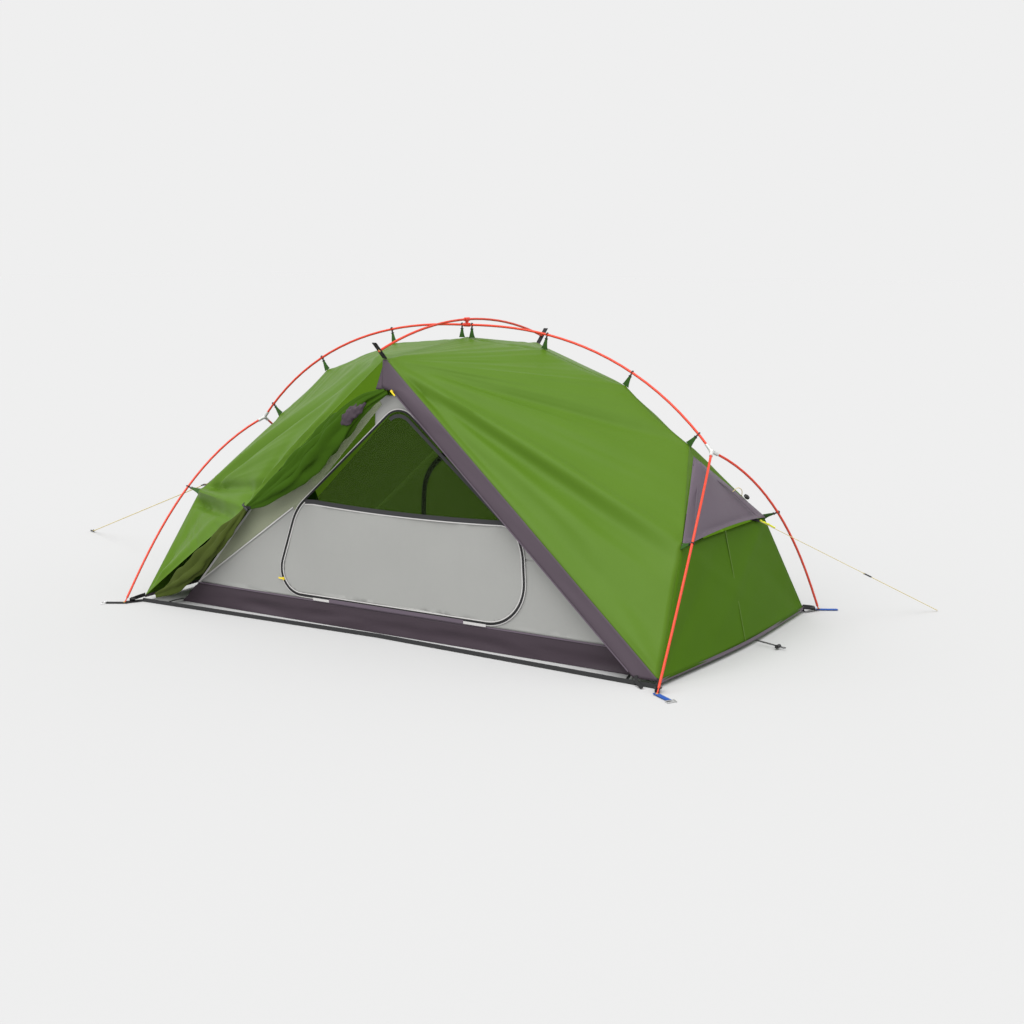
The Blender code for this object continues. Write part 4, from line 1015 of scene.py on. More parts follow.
@dataclass
class Fly:
    """The green outer tent."""

    cuts: int = 56

    def creases(self, side: Side, face: Face) -> list[Crease]:
        """The folds that fan out from the cross pole's end."""
        q = FRAME.quarter(side, face)
        apex, hook, middle, ground = q["A"], q["R3"], q["M"], q["G"]
        top = q["R2"]
        return [
            Crease(apex, hook.lerp(top, 0.35), 0.010, 0.022, 1.8),
            Crease(apex, hook.lerp(top, 0.02), -0.020, 0.026, 1.5),
            Crease(apex, hook.lerp(middle, 0.30), 0.012, 0.028, 1.8),
            Crease(apex, hook.lerp(middle, 0.62), -0.008, 0.022, 1.6),
            Crease(apex, middle.lerp(hook, 0.02), 0.034, 0.024, 1.4),
            Crease(apex, middle.lerp(ground, 0.16), -0.038, 0.036, 1.7),
            Crease(apex, middle.lerp(ground, 0.42), 0.010, 0.026, 1.8),
            Crease(apex, middle.lerp(ground, 0.72), -0.014, 0.040, 1.2),
            Crease(apex, q["R0"].lerp(q["R1"], 0.7), 0.007, 0.020, 2.0),
            Crease(ground, apex.lerp(middle, 0.55), 0.008, 0.03, 2.0),
        ]

    def quarter(self, name: str, side: Side, face: Face, nodes: Sequence[str]) -> None:
        """One plain quarter of the fly."""
        q = FRAME.quarter(side, face)
        sags = {key: Vector((v.x * side.value, v.y, v.z)) for key, v in RIDGE_SAG.items()}
        sags[("A", "G")] = Vector((-0.004 * side.value, 0.004 * -face.value, -0.004))
        panel = Panel(
            name, q, QUARTER, self.cuts, 12, sags, self.creases(side, face), 0.0045, q["A"],
            Vector((side.value * 0.4, face.value, 0.5)),
        )
        make_panel(panel, FLY, nodes, lining=FAR_FLY if face is Face.BACK else None,
                   hangs_from=self.holders(side, face))

    def holders(self, side: Side, face: Face) -> list[str]:
        """The tabs and straps that one quarter of the fly hangs from."""
        tabs = (1, 2, 3) if side is Side.LEFT else (4, 5, 6)
        label = face.name.lower()
        leg = f"leg_{label}_{side.name.lower()}_tab"
        return [
            *(f"ridge_{i}_tab" for i in tabs), leg, f"apex_webbing_{label}",
            f"ground_tape_{label}"
        ]

    def left_front(self) -> None:
        """The quarter beside the rolled door, whose edge is pulled in at the tie."""
        q = FRAME.quarter(Side.LEFT, Face.FRONT)
        q["F"] = FRAME.pull_in
        faces = [*QUARTER[:-1], ("A", "M", "F"), ("F", "M", "G")]
        sags = {key: Vector((-v.x, v.y, v.z)) for key, v in RIDGE_SAG.items()}
        sags[("A", "F")] = Vector((-0.010, 0.004, 0.006))
        sags[("F", "G")] = Vector((-0.008, 0.006, 0.004))
        mid, tie, apex = q["M"], q["F"], q["A"]
        creases = [
            Crease(mid, tie, 0.034, 0.022, 1.0),
            Crease(mid.lerp(apex, 0.04), tie.lerp(apex, 0.15), -0.034, 0.024, 1.0),
            Crease(mid, apex.lerp(q["R2"], 0.40), 0.026, 0.022, 2.0),
            Crease(mid, apex.lerp(q["R2"], 0.18), -0.030, 0.026, 1.7),
            Crease(tie, apex.lerp(q["R1"], 0.12), 0.032, 0.024, 1.6),
            Crease(tie.lerp(mid, 0.1), apex.lerp(q["R1"], 0.40), -0.028, 0.026, 1.6),
            Crease(tie, q["R3"], -0.022, 0.026, 1.8),
            Crease(mid.lerp(q["G"], 0.10), tie.lerp(q["G"], 0.12), -0.028, 0.022, 1.0),
            Crease(q["G"], tie.lerp(mid, 0.30), 0.018, 0.022, 2.0),
            Crease(q["G"], tie.lerp(mid, 0.75), -0.016, 0.022, 2.0),
            Crease(apex, q["R2"].lerp(q["R1"], 0.5), 0.010, 0.03, 1.5),
        ]
        panel = Panel(
            "fly_front_left_cloth", q, faces, self.cuts, 10, sags, creases, 0.005, q["M"],
            Vector((-0.4, -1, 0.5))
        )
        make_panel(
            panel, FLY, ["fly_front_left"],
            hangs_from=self.holders(Side.LEFT, Face.FRONT)
        )

    def back(self) -> None:
        """The far side: two quarters and the closed door between them."""
        self.quarter("fly_back_left_cloth", Side.LEFT, Face.BACK, ["fly_back"])
        self.quarter("fly_back_right_cloth", Side.RIGHT, Face.BACK, [])
        apex = mirror(FRAME.apex, Side.RIGHT, Face.BACK)
        left, right = (mirror(FRAME.ground, s, Face.BACK) for s in Side)
        panel = Panel(
            "fly_back_door_cloth", {"A": apex, "L": left, "G": right}, (("A", "L", "G"),), 40, 4,
            {("L", "G"): Vector((0, -0.02, 0.012))},
            [
                Crease(apex, left.lerp(right, 0.3), 0.006, 0.03, 2.4),
                Crease(apex, left.lerp(right, 0.55), -0.006, 0.03, 2.4),
                Crease(apex, left.lerp(right, 0.8), 0.006, 0.03, 2.4),
            ],
            0.004, apex, Vector((0, 1, 0.1)),
        )
        make_panel(
            panel, FLY, [], lining=FAR_FLY,
            hangs_from=["apex_webbing_back", "ground_tape_back"]
        )
        for side in Side:
            low = mirror(FRAME.ground, side, Face.BACK)
            self.edge_tape(
                f"fly_back_seam_{side.name.lower()}", [apex, low], Vector((0, 1, 0.1)), 0.012,
                FLAP
            )

    def edge_tape(
        self, name: str, points: Sequence[Vector], out: Vector, width: float, finish: Finish
    ) -> None:
        """A stitched tape over a seam."""
        line = smooth_line(points, out)
        fixed(name, band(line, width, TAPE_THICKNESS, 0.001), finish)

    def leg_tabs(self, side: Side) -> list[str]:
        """The two leg tabs at one end."""
        return [f"leg_{face.name.lower()}_{side.name.lower()}_tab" for face in Face]

    def ends(self) -> None:
        """The end walls under the vent hoods."""
        for side in Side:
            label = side.name.lower()
            front, back = FRAME.quarter(side, Face.FRONT), FRAME.quarter(side, Face.BACK)
            hem = mirror(FRAME.hem, side, Face.BACK)
            under = (front["M"] + back["M"]) / 2
            q = {
                "MF": front["M"], "MB": back["M"], "GF": front["G"], "GB": back["G"], "H": hem,
                "U": under
            }
            faces = (("GF", "H", "MF"), ("H", "U", "MF"), ("H", "MB", "U"), ("H", "GB", "MB"))
            creases = [
                Crease(q["GF"], q["U"], -0.006, 0.03, 2.0),
                Crease(q["GB"], q["U"], -0.006, 0.03, 2.0),
                Crease(q["MF"], q["H"].lerp(q["GB"], 0.5), 0.005, 0.03, 1.5),
                Crease(q["MB"], q["H"].lerp(q["GF"], 0.5), 0.005, 0.03, 1.5),
            ]
            panel = Panel(
                f"fly_end_{label}_cloth", q, faces, 26, 8,
                {
                    ("GF", "H"): Vector((0.006 * side.value, 0, 0)),
                    ("H", "GB"): Vector((0.006 * side.value, 0, 0))
                },
                creases, 0.002, None, Vector((side.value, 0, 0.1)),
            )
            make_panel(
                panel, SHADED_END_FLY, [f"fly_end_{label}"],
                hangs_from=self.leg_tabs(side)
            )
            out = Vector((side.value, 0, 0.15))
            seam = smooth_line(
                [under + out * 0.001, under.lerp(hem, 0.5) + out * 0.002, hem + out * 0.001],
                out
            )
            fixed(f"fly_end_{label}_seam", band(seam, 0.006, 0.0014, 0.001), FLY)
            rim = smooth_line([q["GF"], hem + Vector((0.002 * side.value, 0, 0)), q["GB"]], out)
            fixed(f"fly_end_{label}_hem", band(rim, 0.012, 0.0022, 0.0), FLAP)

    def hoods(self) -> None:
        """The vent hoods, with stitched lines inside their edges."""
        for side in Side:
            label = side.name.lower()
            front, back = FRAME.quarter(side, Face.FRONT), FRAME.quarter(side, Face.BACK)
            top, m_front, m_back = front["T"], front["M"], back["M"]
            out = Vector((side.value, 0, 0.6)).normalized()
            m_front, m_back = m_front + out * 0.003, m_back + out * 0.003
            panel = Panel(
                f"vent_hood_{label}_cloth", {
                    "T": top, "F": m_front, "B": m_back
                }, (("T", "F", "B"),), 28, 2,
                {
                    ("F", "B"): out * 0.022 + Vector((0, 0, 0.014)), ("T", "F"): out * 0.002,
                    ("T", "B"): out * 0.002
                },
                [Crease(top, m_front.lerp(m_back, 0.5), 0.018, 0.10, 2.0)],
                0.0015, top, out,
            )
            hangers = [*self.leg_tabs(side), f"ridge_{1 if side is Side.LEFT else 6}_tab"]
            make_panel(panel, FLAP, [f"vent_hood_{label}"], hangs_from=hangers)
            for tag, corner, other in (("front", m_front, m_back), ("back", m_back, m_front)):
                begin = top.lerp(other, 0.10) + out * 0.002
                middle = top.lerp(corner, 0.5).lerp(top.lerp(other, 0.5), 0.14) + out * 0.011
                finish_at = corner.lerp(other, 0.11) + out * 0.012
                seam = smooth_line([begin, middle, finish_at], out)
                strip = band(seam, 0.005, TAPE_THICKNESS, 0.001)
                fixed(f"vent_hood_{label}_seam_{tag}", strip, FLAP)
            lift = out * 0.022 + Vector((0, 0, 0.014))
            points = []
            for k in range(13):
                share = k / 12
                points.append(
                    m_front.lerp(m_back, share) + lift * (4 * share * (1 - share)) + out * 0.001
                )
            hem = Line(points, out)
            fixed(f"vent_hood_{label}_hem", band(hem, 0.011, 0.0022), FLAP)

    def build(self) -> None:
        """Builds the whole fly."""
        self.quarter("fly_front_right_cloth", Side.RIGHT, Face.FRONT, ["fly_front_right"])
        self.left_front()
        self.back()
        self.ends()
        self.hoods()


# ---------------------------------------------------------------- doorway


@dataclass
class Doorway:
    """The storm flap, the rolled door and its ties."""

    flap_width: float = 0.065
    throat_z: float = 0.948

    def flap_x(self, z: float) -> float:
        """The storm flap's inner edge."""
        rise = FRAME.apex.z - FRAME.ground.z
        return FRAME.edge_x(z) - self.flap_width * math.hypot(FRAME.ground.x, rise) / rise

    def flap_inner(self, z: float) -> float:
        """The same edge, cut short under the apex."""
        return self.flap_x(z) if z < self.throat_z else -0.010

    def gusset_edges(self, share: float, z: float) -> tuple[float, float]:
        """The gusset's left and right x at a share of its way down."""
        return -FRAME.edge_x(z) * 0.28 - 0.004, 0.012 + self.flap_x(self.throat_z) * share

    def flap(self) -> None:
        """The strip down the right of the doorway and the gusset over its top."""
        low, high = FRAME.ground.z, FRAME.apex.z - 0.002

        def place(u: float, v: float) -> Vector:
            z = high + (low - high) * u
            inner = self.flap_inner(z)
            x = inner + (FRAME.edge_x(z) + 0.003 - inner) * v
            bulge = 0.010 * math.sin(math.pi * v) * math.sin(math.pi * min(1.0, u * 4))
            flutter = 0.002 * noise.noise(Vector((u * 9.0, v * 2.0, 3.0)))
            return FRAME.on_front(x, z, 0.001 + bulge + flutter)

        surface = grid_surface(90, 10, place, (1.6, 0.07))
        obj = thicken(fixed("storm_flap_cloth", surface, SHADED_FLAP_STRIP), 0.001)
        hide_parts("storm_flap")
        rows = [high + (low - high) * k / 60 for k in range(61)]
        edge = [(self.flap_inner(z), FRAME.edge_x(z) + 0.003, z) for z in rows]
        slope = math.hypot(FRAME.ground.y - FRAME.apex.y, high - low) / (high - low)
        flat, area = strip_cut(edge, slope)
        self.gusset()
        fold = smooth_line(
            [FRAME.on_front(self.flap_x(z) + 0.007, z, 0.008) for z in (0.93, 0.6, 0.3, 0.04)],
            Vector((0, -1, 0))
        )
        fixed("storm_flap_fold", band(fold, 0.004, 0.0012, 0.0), FLAP)

    def gusset(self) -> None:
        """The small panel under the apex, left of the flap."""
        high, low = FRAME.apex.z - 0.004, self.throat_z - 0.004

        def place(u: float, v: float) -> Vector:
            z = high + (low - high) * u
            left, right = self.gusset_edges(u, z)
            x = left + (right - left) * v
            return FRAME.on_front(x, z, -0.004 + 0.004 * math.sin(math.pi * v))

        surface = grid_surface(12, 8, place, (0.12, 0.1))
        obj = thicken(fixed("apex_gusset", surface, SHADED_FLAP_STRIP), 0.001)
        rows = [(k / 12, high + (low - high) * k / 12) for k in range(13)]
        flat, area = strip_cut([(*self.gusset_edges(u, z), z) for u, z in rows])

    def bundle(
        self, name: str, route: Sequence[tuple[float, float]], widths: Sequence[float],
        out: Sequence[float], folds: int, depth: float, seed: float, finish: Finish = SHADED_ROLLED_FLY,
    ) -> bpy.types.Object:
        """A length of gathered cloth.

        Args:
            name: the piece's name.
            route: (x, z) of its middle on the front plane.
            widths: half widths at the route's points.
            out: how far its middle stands out there.
            folds: pleats round its section.
            depth: how deep they are, as a share of the half width.
            seed: sets their places.
            finish: its cloth.

        Returns:
            The piece.
        """
        line = smooth_line(
            [FRAME.on_front(x, z, o) for (x, z), o in zip(route, out)], Vector((0, -1, 0))
        )
        sizes = smooth_line([Vector((w, i, 0)) for i, w in enumerate(widths)])

        def place(u: float, v: float) -> Vector:
            point, _, side, up = line.frame(u)
            half = max(sizes.at(u).x, 0.002)
            angle = math.tau * (v % 1.0)
            wave = math.sin(angle * folds + 3.0 * math.sin(u * 5.0 + seed) + seed)
            ruck = noise.noise(
                Vector((math.cos(angle) * 1.6, math.sin(angle) * 1.6, u * 9.0 + seed))
            )
            pinch = noise.noise(Vector((u * 16.0, seed, math.cos(angle) * 0.6)))
            radius = half * (1 + depth * wave + 0.35 * ruck + 0.10 * pinch)
            return point + side * (radius * math.cos(angle)) + up * (
                radius * 0.45 * math.sin(angle)
            )

        return fixed(name, tube(110, 72, place, (line.length, 0.2)), finish)

    def rolled(self) -> None:
        """The door, gathered along the doorway's left edge."""
        main = self.bundle(
            "door_roll_upper",
            (
                (0.020, 0.936), (-0.085, 0.880), (-0.190, 0.790), (-0.310, 0.690),
                (-0.440, 0.580), (-0.560, 0.492), (-0.645, 0.446)
            ),
            (0.006, 0.024, 0.050, 0.056, 0.050, 0.030, 0.010),
            (0.006, 0.010, 0.012, 0.010, 0.008, 0.008, 0.006),
            5, 0.22, 1.3,
        )
        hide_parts("fly_door_rolled")
        self.bundle(
            "door_roll_face",
            (
                (0.010, 0.945), (-0.085, 0.905), (-0.190, 0.830), (-0.280, 0.740),
                (-0.400, 0.635), (-0.530, 0.530), (-0.650, 0.450)
            ),
            (0.004, 0.018, 0.022, 0.026, 0.022, 0.020, 0.007),
            (0.010, 0.020, 0.024, 0.026, 0.022, 0.016, 0.010),
            3, 0.30, 4.1,
        )
        self.bundle(
            "door_roll_lower",
            (
                (-0.665, 0.440), (-0.752, 0.345), (-0.862, 0.240), (-0.965, 0.145),
                (-1.066, 0.070), (-1.150, 0.030)
            ),
            (0.008, 0.024, 0.032, 0.034, 0.026, 0.010),
            (0.002, 0.004, 0.004, 0.004, 0.003, 0.002),
            4, 0.26, 2.2, SHADED_TUCKED_FLY,
        )
        self.bundle(
            "door_roll_facing",
            ((-0.072, 0.898), (-0.105, 0.866), (-0.150, 0.832), (-0.195, 0.806)),
            (0.008, 0.022, 0.024, 0.008), (0.020, 0.026, 0.028, 0.020), 1, 0.06, 0.4, FLOOR,
        )

    def ties(self) -> None:
        """The toggle that holds the door and the strap at its top."""
        tie = FRAME.pull_in + Vector((0.004, -0.016, 0.0))
        toggle = rod(
            Line(
                [tie + Vector((-0.012, 0, 0.012)), tie + Vector((0.014, -0.002, -0.010))],
                Vector((0, -1, 0))
            ),
            0.0045, 10, 4
        )
        fixed("door_toggle", toggle, BLACK)
        loop = smooth_line(
            [
                tie + Vector((-0.016, 0.012, 0.016)), tie + Vector((-0.004, -0.004, 0.004)),
                tie + Vector((0.026, 0.004, 0.002))
            ],
            Vector((0, -1, 0))
        )
        fixed("door_toggle_loop", band(loop, 0.010, TAPE_THICKNESS), STRAP)

    def hem_tie(self) -> None:
        """The short black strap that holds the flap's foot to the ground tape."""
        start = FRAME.on_front(1.128, 0.030, 0.004)
        points = [start, start + Vector((0.012, -0.02, -0.014)), Vector((1.175, -0.688, 0.004))]
        fixed(
            "flap_foot_strap", band(smooth_line(points, Vector((0, -1, 1))), 0.012, 0.0018),
            STRAP
        )

    def build(self) -> None:
        """Builds the doorway's pieces."""
        self.flap()
        self.rolled()
        self.ties()
        self.hem_tie()


# ---------------------------------------------------------------- inner tent


@dataclass
class Inner:
    """The inner tent: floor, front wall, door and canopy."""

    half_x: float = 1.080
    top_half_x: float = 0.985
    half_y: float = 0.557
    rise: float = 0.093
    apex_z: float = 0.922
    apex_y: float = 0.531
    door_top: Vector = field(default_factory=lambda: Vector((0.055, 0.892)))
    shoulder_z: float = 0.45
    right_x: float = 0.6076
    left_x: float = -0.4476
    right_flare: float = 0.025
    left_flare: float = 0.115
    sill: float = 0.107
    net_from: float = -0.402
    net_width: float = 0.964
    net_z: float = 0.488
    net_dip: float = 0.013
    corners_r: Sequence[float] = (0.085, 0.220, 0.160, 0.100, 0.200)
    wall_cuts: dict[str, tuple[float, float, float, float]] = field(
        default_factory=lambda: {
            "right_upper": (-0.060, 1.0, 0.36, 1.0),
            "right_lower": (0.500, 1.0, 0.09, 0.36),
            "sill": (-0.440, 0.500, 0.09, 0.12),
            "left_lower": (-1.0, -0.440, 0.09, 0.46),
        }
    )

    def wall_y(self, z: float) -> float:
        """The front wall's distance from the ridge line."""
        return self.half_y + (
            self.apex_y - self.half_y
        ) * (z - self.rise) / (self.apex_z - self.rise)

    def on_wall(self, x: float, z: float, out: float = 0.0) -> Vector:
        """A place on the front wall, or out from it."""
        return Vector((x, -self.wall_y(z) - out, z))

    def wall_edge(self) -> list[Vector]:
        """(x, z) of the front wall's right edge."""
        rows = [Vector((self.top_half_x, self.rise))]
        rows += [Vector((FRAME.edge_x(z) - 0.03, z)) for z in (0.47, 0.72)]
        return [*rows, Vector((FRAME.edge_x(self.apex_z) - 0.08, self.apex_z))]

    def door_outline(self, grow: float = 0.0, steps: int = 14) -> list[Vector]:
        """The D-shaped door's outline, as (x, z), moved outwards by an amount."""
        corners = (
            self.door_top,
            Vector((self.right_x, self.shoulder_z)),
            Vector((self.right_x + self.right_flare, self.sill)),
            Vector((self.left_x - self.left_flare, self.sill)),
            Vector((self.left_x, self.shoulder_z)),
        )
        found = []
        for i, (corner, radius) in enumerate(zip(corners, self.corners_r)):
            before = (corners[i - 1] - corner).normalized()
            after = (corners[(i + 1) % 5] - corner).normalized()
            half = before.angle(after) / 2
            middle = corner + (before + after).normalized() * (radius / math.sin(half))
            first = corner + before * (radius / math.tan(half)) - middle
            last = corner + after * (radius / math.tan(half)) - middle
            turn = first.angle_signed(last)
            for k in range(steps + 1):
                found.append(middle + Matrix.Rotation(-turn * k / steps, 2) @ first)
        count = len(found)
        moved = []
        for i, point in enumerate(found):
            along = (found[(i + 1) % count] - found[i - 1]).normalized()
            moved.append(point - Vector((along.y, -along.x)) * grow)
        return moved

    def seam_z(self, x: float) -> float:
        """The height of the seam between the door's net and its cloth."""
        share = (x - self.net_from) / self.net_width
        return self.net_z + 0.001 * share - self.net_dip * 4 * share * (1 - share)

    def split(self, ring: Sequence[Vector]) -> tuple[list[Vector], list[Vector]]:
        """A closed outline's points below the door's seam, and those above it, each in order."""
        low = [p.y < self.seam_z(p.x) for p in ring]
        start = next(i for i in range(len(ring)) if low[i] and not low[i - 1])
        turned = [*ring[start:], *ring[:start]]
        below = [p for p in turned if p.y < self.seam_z(p.x)]
        return below, [p for p in turned if p.y >= self.seam_z(p.x)]

    def filled(self, outline: Sequence[Vector], holes: Sequence[Sequence[Vector]], spacing: float,
               place: Callable[[Vector], Vector]) -> bmesh.types.BMesh:
        """A fine sheet that fills a flat outline.

        Args:
            outline: its edge, as (x, z).
            holes: outlines left open.
            spacing: between its inner points.
            place: gives each point its place.

        Returns:
            The sheet, with its UV map in metres.
        """
        points = [Vector(p) for p in outline]
        edges = [(i, (i + 1) % len(points)) for i in range(len(points))]
        for hole in holes:
            first = len(points)
            points += [Vector(p) for p in hole]
            edges += [(first + i, first + (i + 1) % len(hole)) for i in range(len(hole))]
        lo = Vector((min(p.x for p in outline), min(p.y for p in outline)))
        hi = Vector((max(p.x for p in outline), max(p.y for p in outline)))
        rows = int((hi.y - lo.y) / spacing)
        for j in range(rows + 1):
            columns = int((hi.x - lo.x) / spacing)
            for i in range(columns + 1):
                spot = lo + Vector(((i + 0.5 * (j % 2)) * spacing, (j + 0.5) * spacing))
                if inside(spot, outline) and not any(inside(spot, hole) for hole in holes):
                    points.append(spot)
        flat, _, faces, *_ = delaunay_2d_cdt(points, edges, [], 0, 1e-6)
        bm = bmesh.new()
        verts = [bm.verts.new(place(p)) for p in flat]
        layer = bm.loops.layers.uv.verify()
        for face in faces:
            middle = sum((flat[i] for i in face), Vector((0, 0))) / len(face)
            if inside(middle, outline) and not any(inside(middle, hole) for hole in holes):
                made = bm.faces.new([verts[i] for i in face])
                for loop, i in zip(made.loops, face):
                    loop[layer].uv = flat[i]
        bmesh.ops.delete(bm, geom=[v for v in bm.verts if not v.link_faces], context="VERTS")
        bm.normal_update()
        if sum(f.normal.y for f in bm.faces) > 0:
            bmesh.ops.reverse_faces(bm, faces=bm.faces)
        return bm

    def sheet(
        self, name: str, outline: Sequence[Vector], holes: Sequence[Sequence[Vector]],
        finish: Finish, body: str, nodes: Sequence[str], out: Callable[[Vector], float],
        hangs_from: Sequence[str], spacing: float = 0.014,
    ) -> bpy.types.Object:
        """One flat cut of cloth or net on the front wall."""
        bm = self.filled(outline, holes, spacing, lambda p: self.on_wall(p.x, p.y, out(p)))
        cut = self.filled(outline, holes, spacing, lambda p: self.on_wall(p.x, p.y))
        layer, kept = cut.loops.layers.uv.verify(), cut.faces[:]
        area = sum(f.calc_area() for f in kept)
        obj = thicken(add_piece(name, bm, finish), CLOTH_THICKNESS)
        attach(obj, body)
        if nodes:
            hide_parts(*nodes)
        points = [loop[layer].uv for f in kept for loop in f.loops]
        cut.free()
        log.info("inner sheet %s", name)
        return obj

    def strip(
        self, name: str, points: Sequence[Vector], width: float, finish: Finish, body: str,
        lift: float, closed: bool = False, slot: str = "inner_fabric",
    ) -> None:
        """A tape, zip or piping laid along (x, z) points on the front wall."""
        line = Line([self.on_wall(p.x, p.y) for p in points], Vector((0, -1, 0)), closed)
        steps = max(4, round(line.length / 0.012))
        shape = band(line, width, TAPE_THICKNESS, lift, steps)
        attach(add_piece(name, shape, finish), body)

    def wall(self) -> None:
        """The front wall: closely woven below, sheer above, round the door."""
        edge = self.wall_edge()
        right = [Vector((p.x - 0.004, p.y)) for p in edge]
        left = [Vector((-p.x, p.y)) for p in right]
        outline = [*right, *reversed(left)]
        outline[0].y = outline[-1].y = self.rise + 0.002
        hole = self.door_outline(0.0)
        shoulder = Vector((self.left_x - 0.018, self.shoulder_z + 0.004))
        corner = Vector((-self.top_half_x + 0.006, self.rise + 0.002))
        upper_left = [corner, left[1], left[2], Vector((-0.05, 0.918)), Vector((-0.03, 0.885))]
        door_side = [
            p for p in self.door_outline(0.0) if p.x < 0.0 and p.y > self.shoulder_z - 0.03
        ]
        door_side = sorted(door_side, key=lambda p: -p.y)
        sheer = [*upper_left, *door_side, shoulder]

        def bulge(p: Vector) -> float:
            return 0.004 * noise.noise(Vector((p.x * 5.0, p.y * 5.0, 0.0)))

        seam = [corner, shoulder]
        solid_holes = [hole, sheer]
        held_by = ["inner_canopy_cloth", "floor_tub_cloth"]
        for name, box in self.wall_cuts.items():
            nodes = ["inner_front_wall"] if name == "right_upper" else []
            part = clipped(outline, box)
            self.sheet(
                f"front_wall_{name}", part, solid_holes, INNER, "tent", nodes, bulge, held_by
            )
        self.sheet("front_wall_sheer", sheer, [], SHEER, "tent", [], bulge, held_by)
        self.strip("front_wall_seam", seam, 0.005, PIPING, "tent", 0.004)
        self.strip(
            "front_wall_edge_left", [p + Vector((0.004, 0)) for p in left], 0.008, PIPING,
            "tent", 0.001
        )
        self.strip(
            "front_wall_edge_right", [p - Vector((0.004, 0)) for p in right], 0.008, PIPING,
            "tent", 0.001
        )

    def door(self) -> None:
        """The D-shaped door, net over cloth, with its zip and piping."""
        lower, upper = self.split(self.door_outline(-0.0035))
        steps = 24
        across = (self.net_from + self.net_width * k / steps for k in range(steps + 1))
        seam = [Vector((x, self.seam_z(x))) for x in across]
        inner_seam = [p for p in seam if lower[-1].x + 0.006 < p.x < lower[0].x - 0.006]

        def pleat(p: Vector) -> float:
            hang = max(0.0, self.seam_z(p.x) - p.y)
            soft = 0.006 * noise.noise(Vector((p.x * 16.0, p.y * 2.0, 5.0))) * math.exp(-hang * 4)
            return soft + 0.006 * noise.noise(Vector((p.x * 3.5, p.y * 3.5, 9.0)))

        self.sheet(
            "door_cloth", [*lower, *inner_seam], [], INNER, "inner_door", ["inner_door"], pleat,
            ["front_wall_sill"]
        )
        self.sheet(
            "door_net", [*upper, *reversed(inner_seam)], [], NET, "inner_door", [],
            lambda p: 0.0, ["door_cloth"]
        )
        self.strip(
            "door_seam_tape", [lower[-1], *inner_seam, lower[0]], 0.017, BINDING, "inner_door",
            0.004
        )
        self.strip(
            "door_seam_piping",
            [p - Vector((0, 0.011)) for p in (lower[-1], *inner_seam, lower[0])], 0.004, PIPING,
            "inner_door", 0.004
        )
        below, _ = self.split(self.door_outline(-0.0065))
        self.strip("door_piping", below, 0.004, PIPING, "inner_door", 0.004)
        _, above = self.split(self.door_outline(-0.018))
        self.strip("door_net_binding", above, 0.014, BINDING, "inner_door", 0.0045)
        self.strip(
            "door_zip", self.door_outline(0.0015), 0.0075, STRAP, "tent", 0.0052, True,
            "webbing"
        )
        outer = self.door_outline(0.0070)
        self.strip("wall_piping", outer, 0.004, PIPING, "tent", 0.004, True)
        self.strip(
            "sill_tape",
            [Vector((-0.28, self.sill - 0.007)), Vector((0.36, self.sill - 0.007))], 0.014,
            FLAP, "tent", 0.0062
        )
        ends = (Vector((-0.36, self.sill - 0.009)), Vector((-0.28, self.sill - 0.009)))
        self.strip("sill_tab_left", ends, 0.010, PIPING, "tent", 0.0066)
        ends = (Vector((0.36, self.sill - 0.009)), Vector((0.46, self.sill - 0.009)))
        self.strip("sill_tab_right", ends, 0.010, PIPING, "tent", 0.0066)

    def tub(self) -> None:
        """The floor and its upturned sides."""

        def place(u: float, v: float) -> Vector:
            around = u % 1.0 * 4
            i = int(around)
            share = around - i
            signs = ((-1, -1), (1, -1), (1, 1), (-1, 1))
            a, b = signs[i % 4], signs[(i + 1) % 4]
            across = (a[0] + (b[0] - a[0]) * share, a[1] + (b[1] - a[1]) * share)
            x = self.half_x + (self.top_half_x - self.half_x) * v
            point = Vector(
                (across[0] * x, across[1] * self.half_y, 0.0008 + (self.rise - 0.001) * v)
            )
            wave = noise.noise(Vector((point.x * 6.0, point.y * 6.0, v * 1.5)))
            sink = noise.noise(Vector((point.x * 2.0, point.y * 2.0, 7.0)))
            inward = Vector((-across[0] if i % 2 else 0, -across[1] if i % 2 == 0 else 0, 0))
            lift = 0.010 * math.sin(math.pi * min(v * 1.6, 1.0)) * (0.4 + wave)
            point += inward * (lift + 0.004 * sink * v)
            point.z += 0.004 * sink * v - (0.004 if v > 0.9 else 0.0)
            return point

        bm = grid_surface(320, 10, place, (4.4, 0.1))
        bmesh.ops.remove_doubles(bm, verts=bm.verts, dist=1e-6)
        low = [
            e
            for e in bm.edges if len(e.link_faces) == 1 and all(v.co.z < 0.002 for v in e.verts)
        ]
        bmesh.ops.holes_fill(bm, edges=low, sides=0)
        bmesh.ops.recalc_face_normals(bm, faces=bm.faces)
        bm.normal_update()
        if max(bm.faces, key=lambda f: f.calc_area()).normal.z > 0:
            bmesh.ops.reverse_faces(bm, faces=bm.faces)
        obj = thicken(
            add_piece("floor_tub_cloth", bm, FLOOR), CLOTH_THICKNESS, -1.0
        )
        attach(obj, "tent")
        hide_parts("floor_tub")
        for face in Face:
            row = [Vector((x * self.top_half_x, 0)) for x in (-1, -0.5, 0, 0.5, 1)]
            points = [
                Vector((p.x, face.value * (self.half_y + 0.001), self.rise - 0.002))
                for p in row
            ]
            line = smooth_line(points, Vector((0, face.value, 0.2)))
            fixed(
                f"floor_edge_{face.name.lower()}", band(line, 0.006, TAPE_THICKNESS), FLAP,
            )

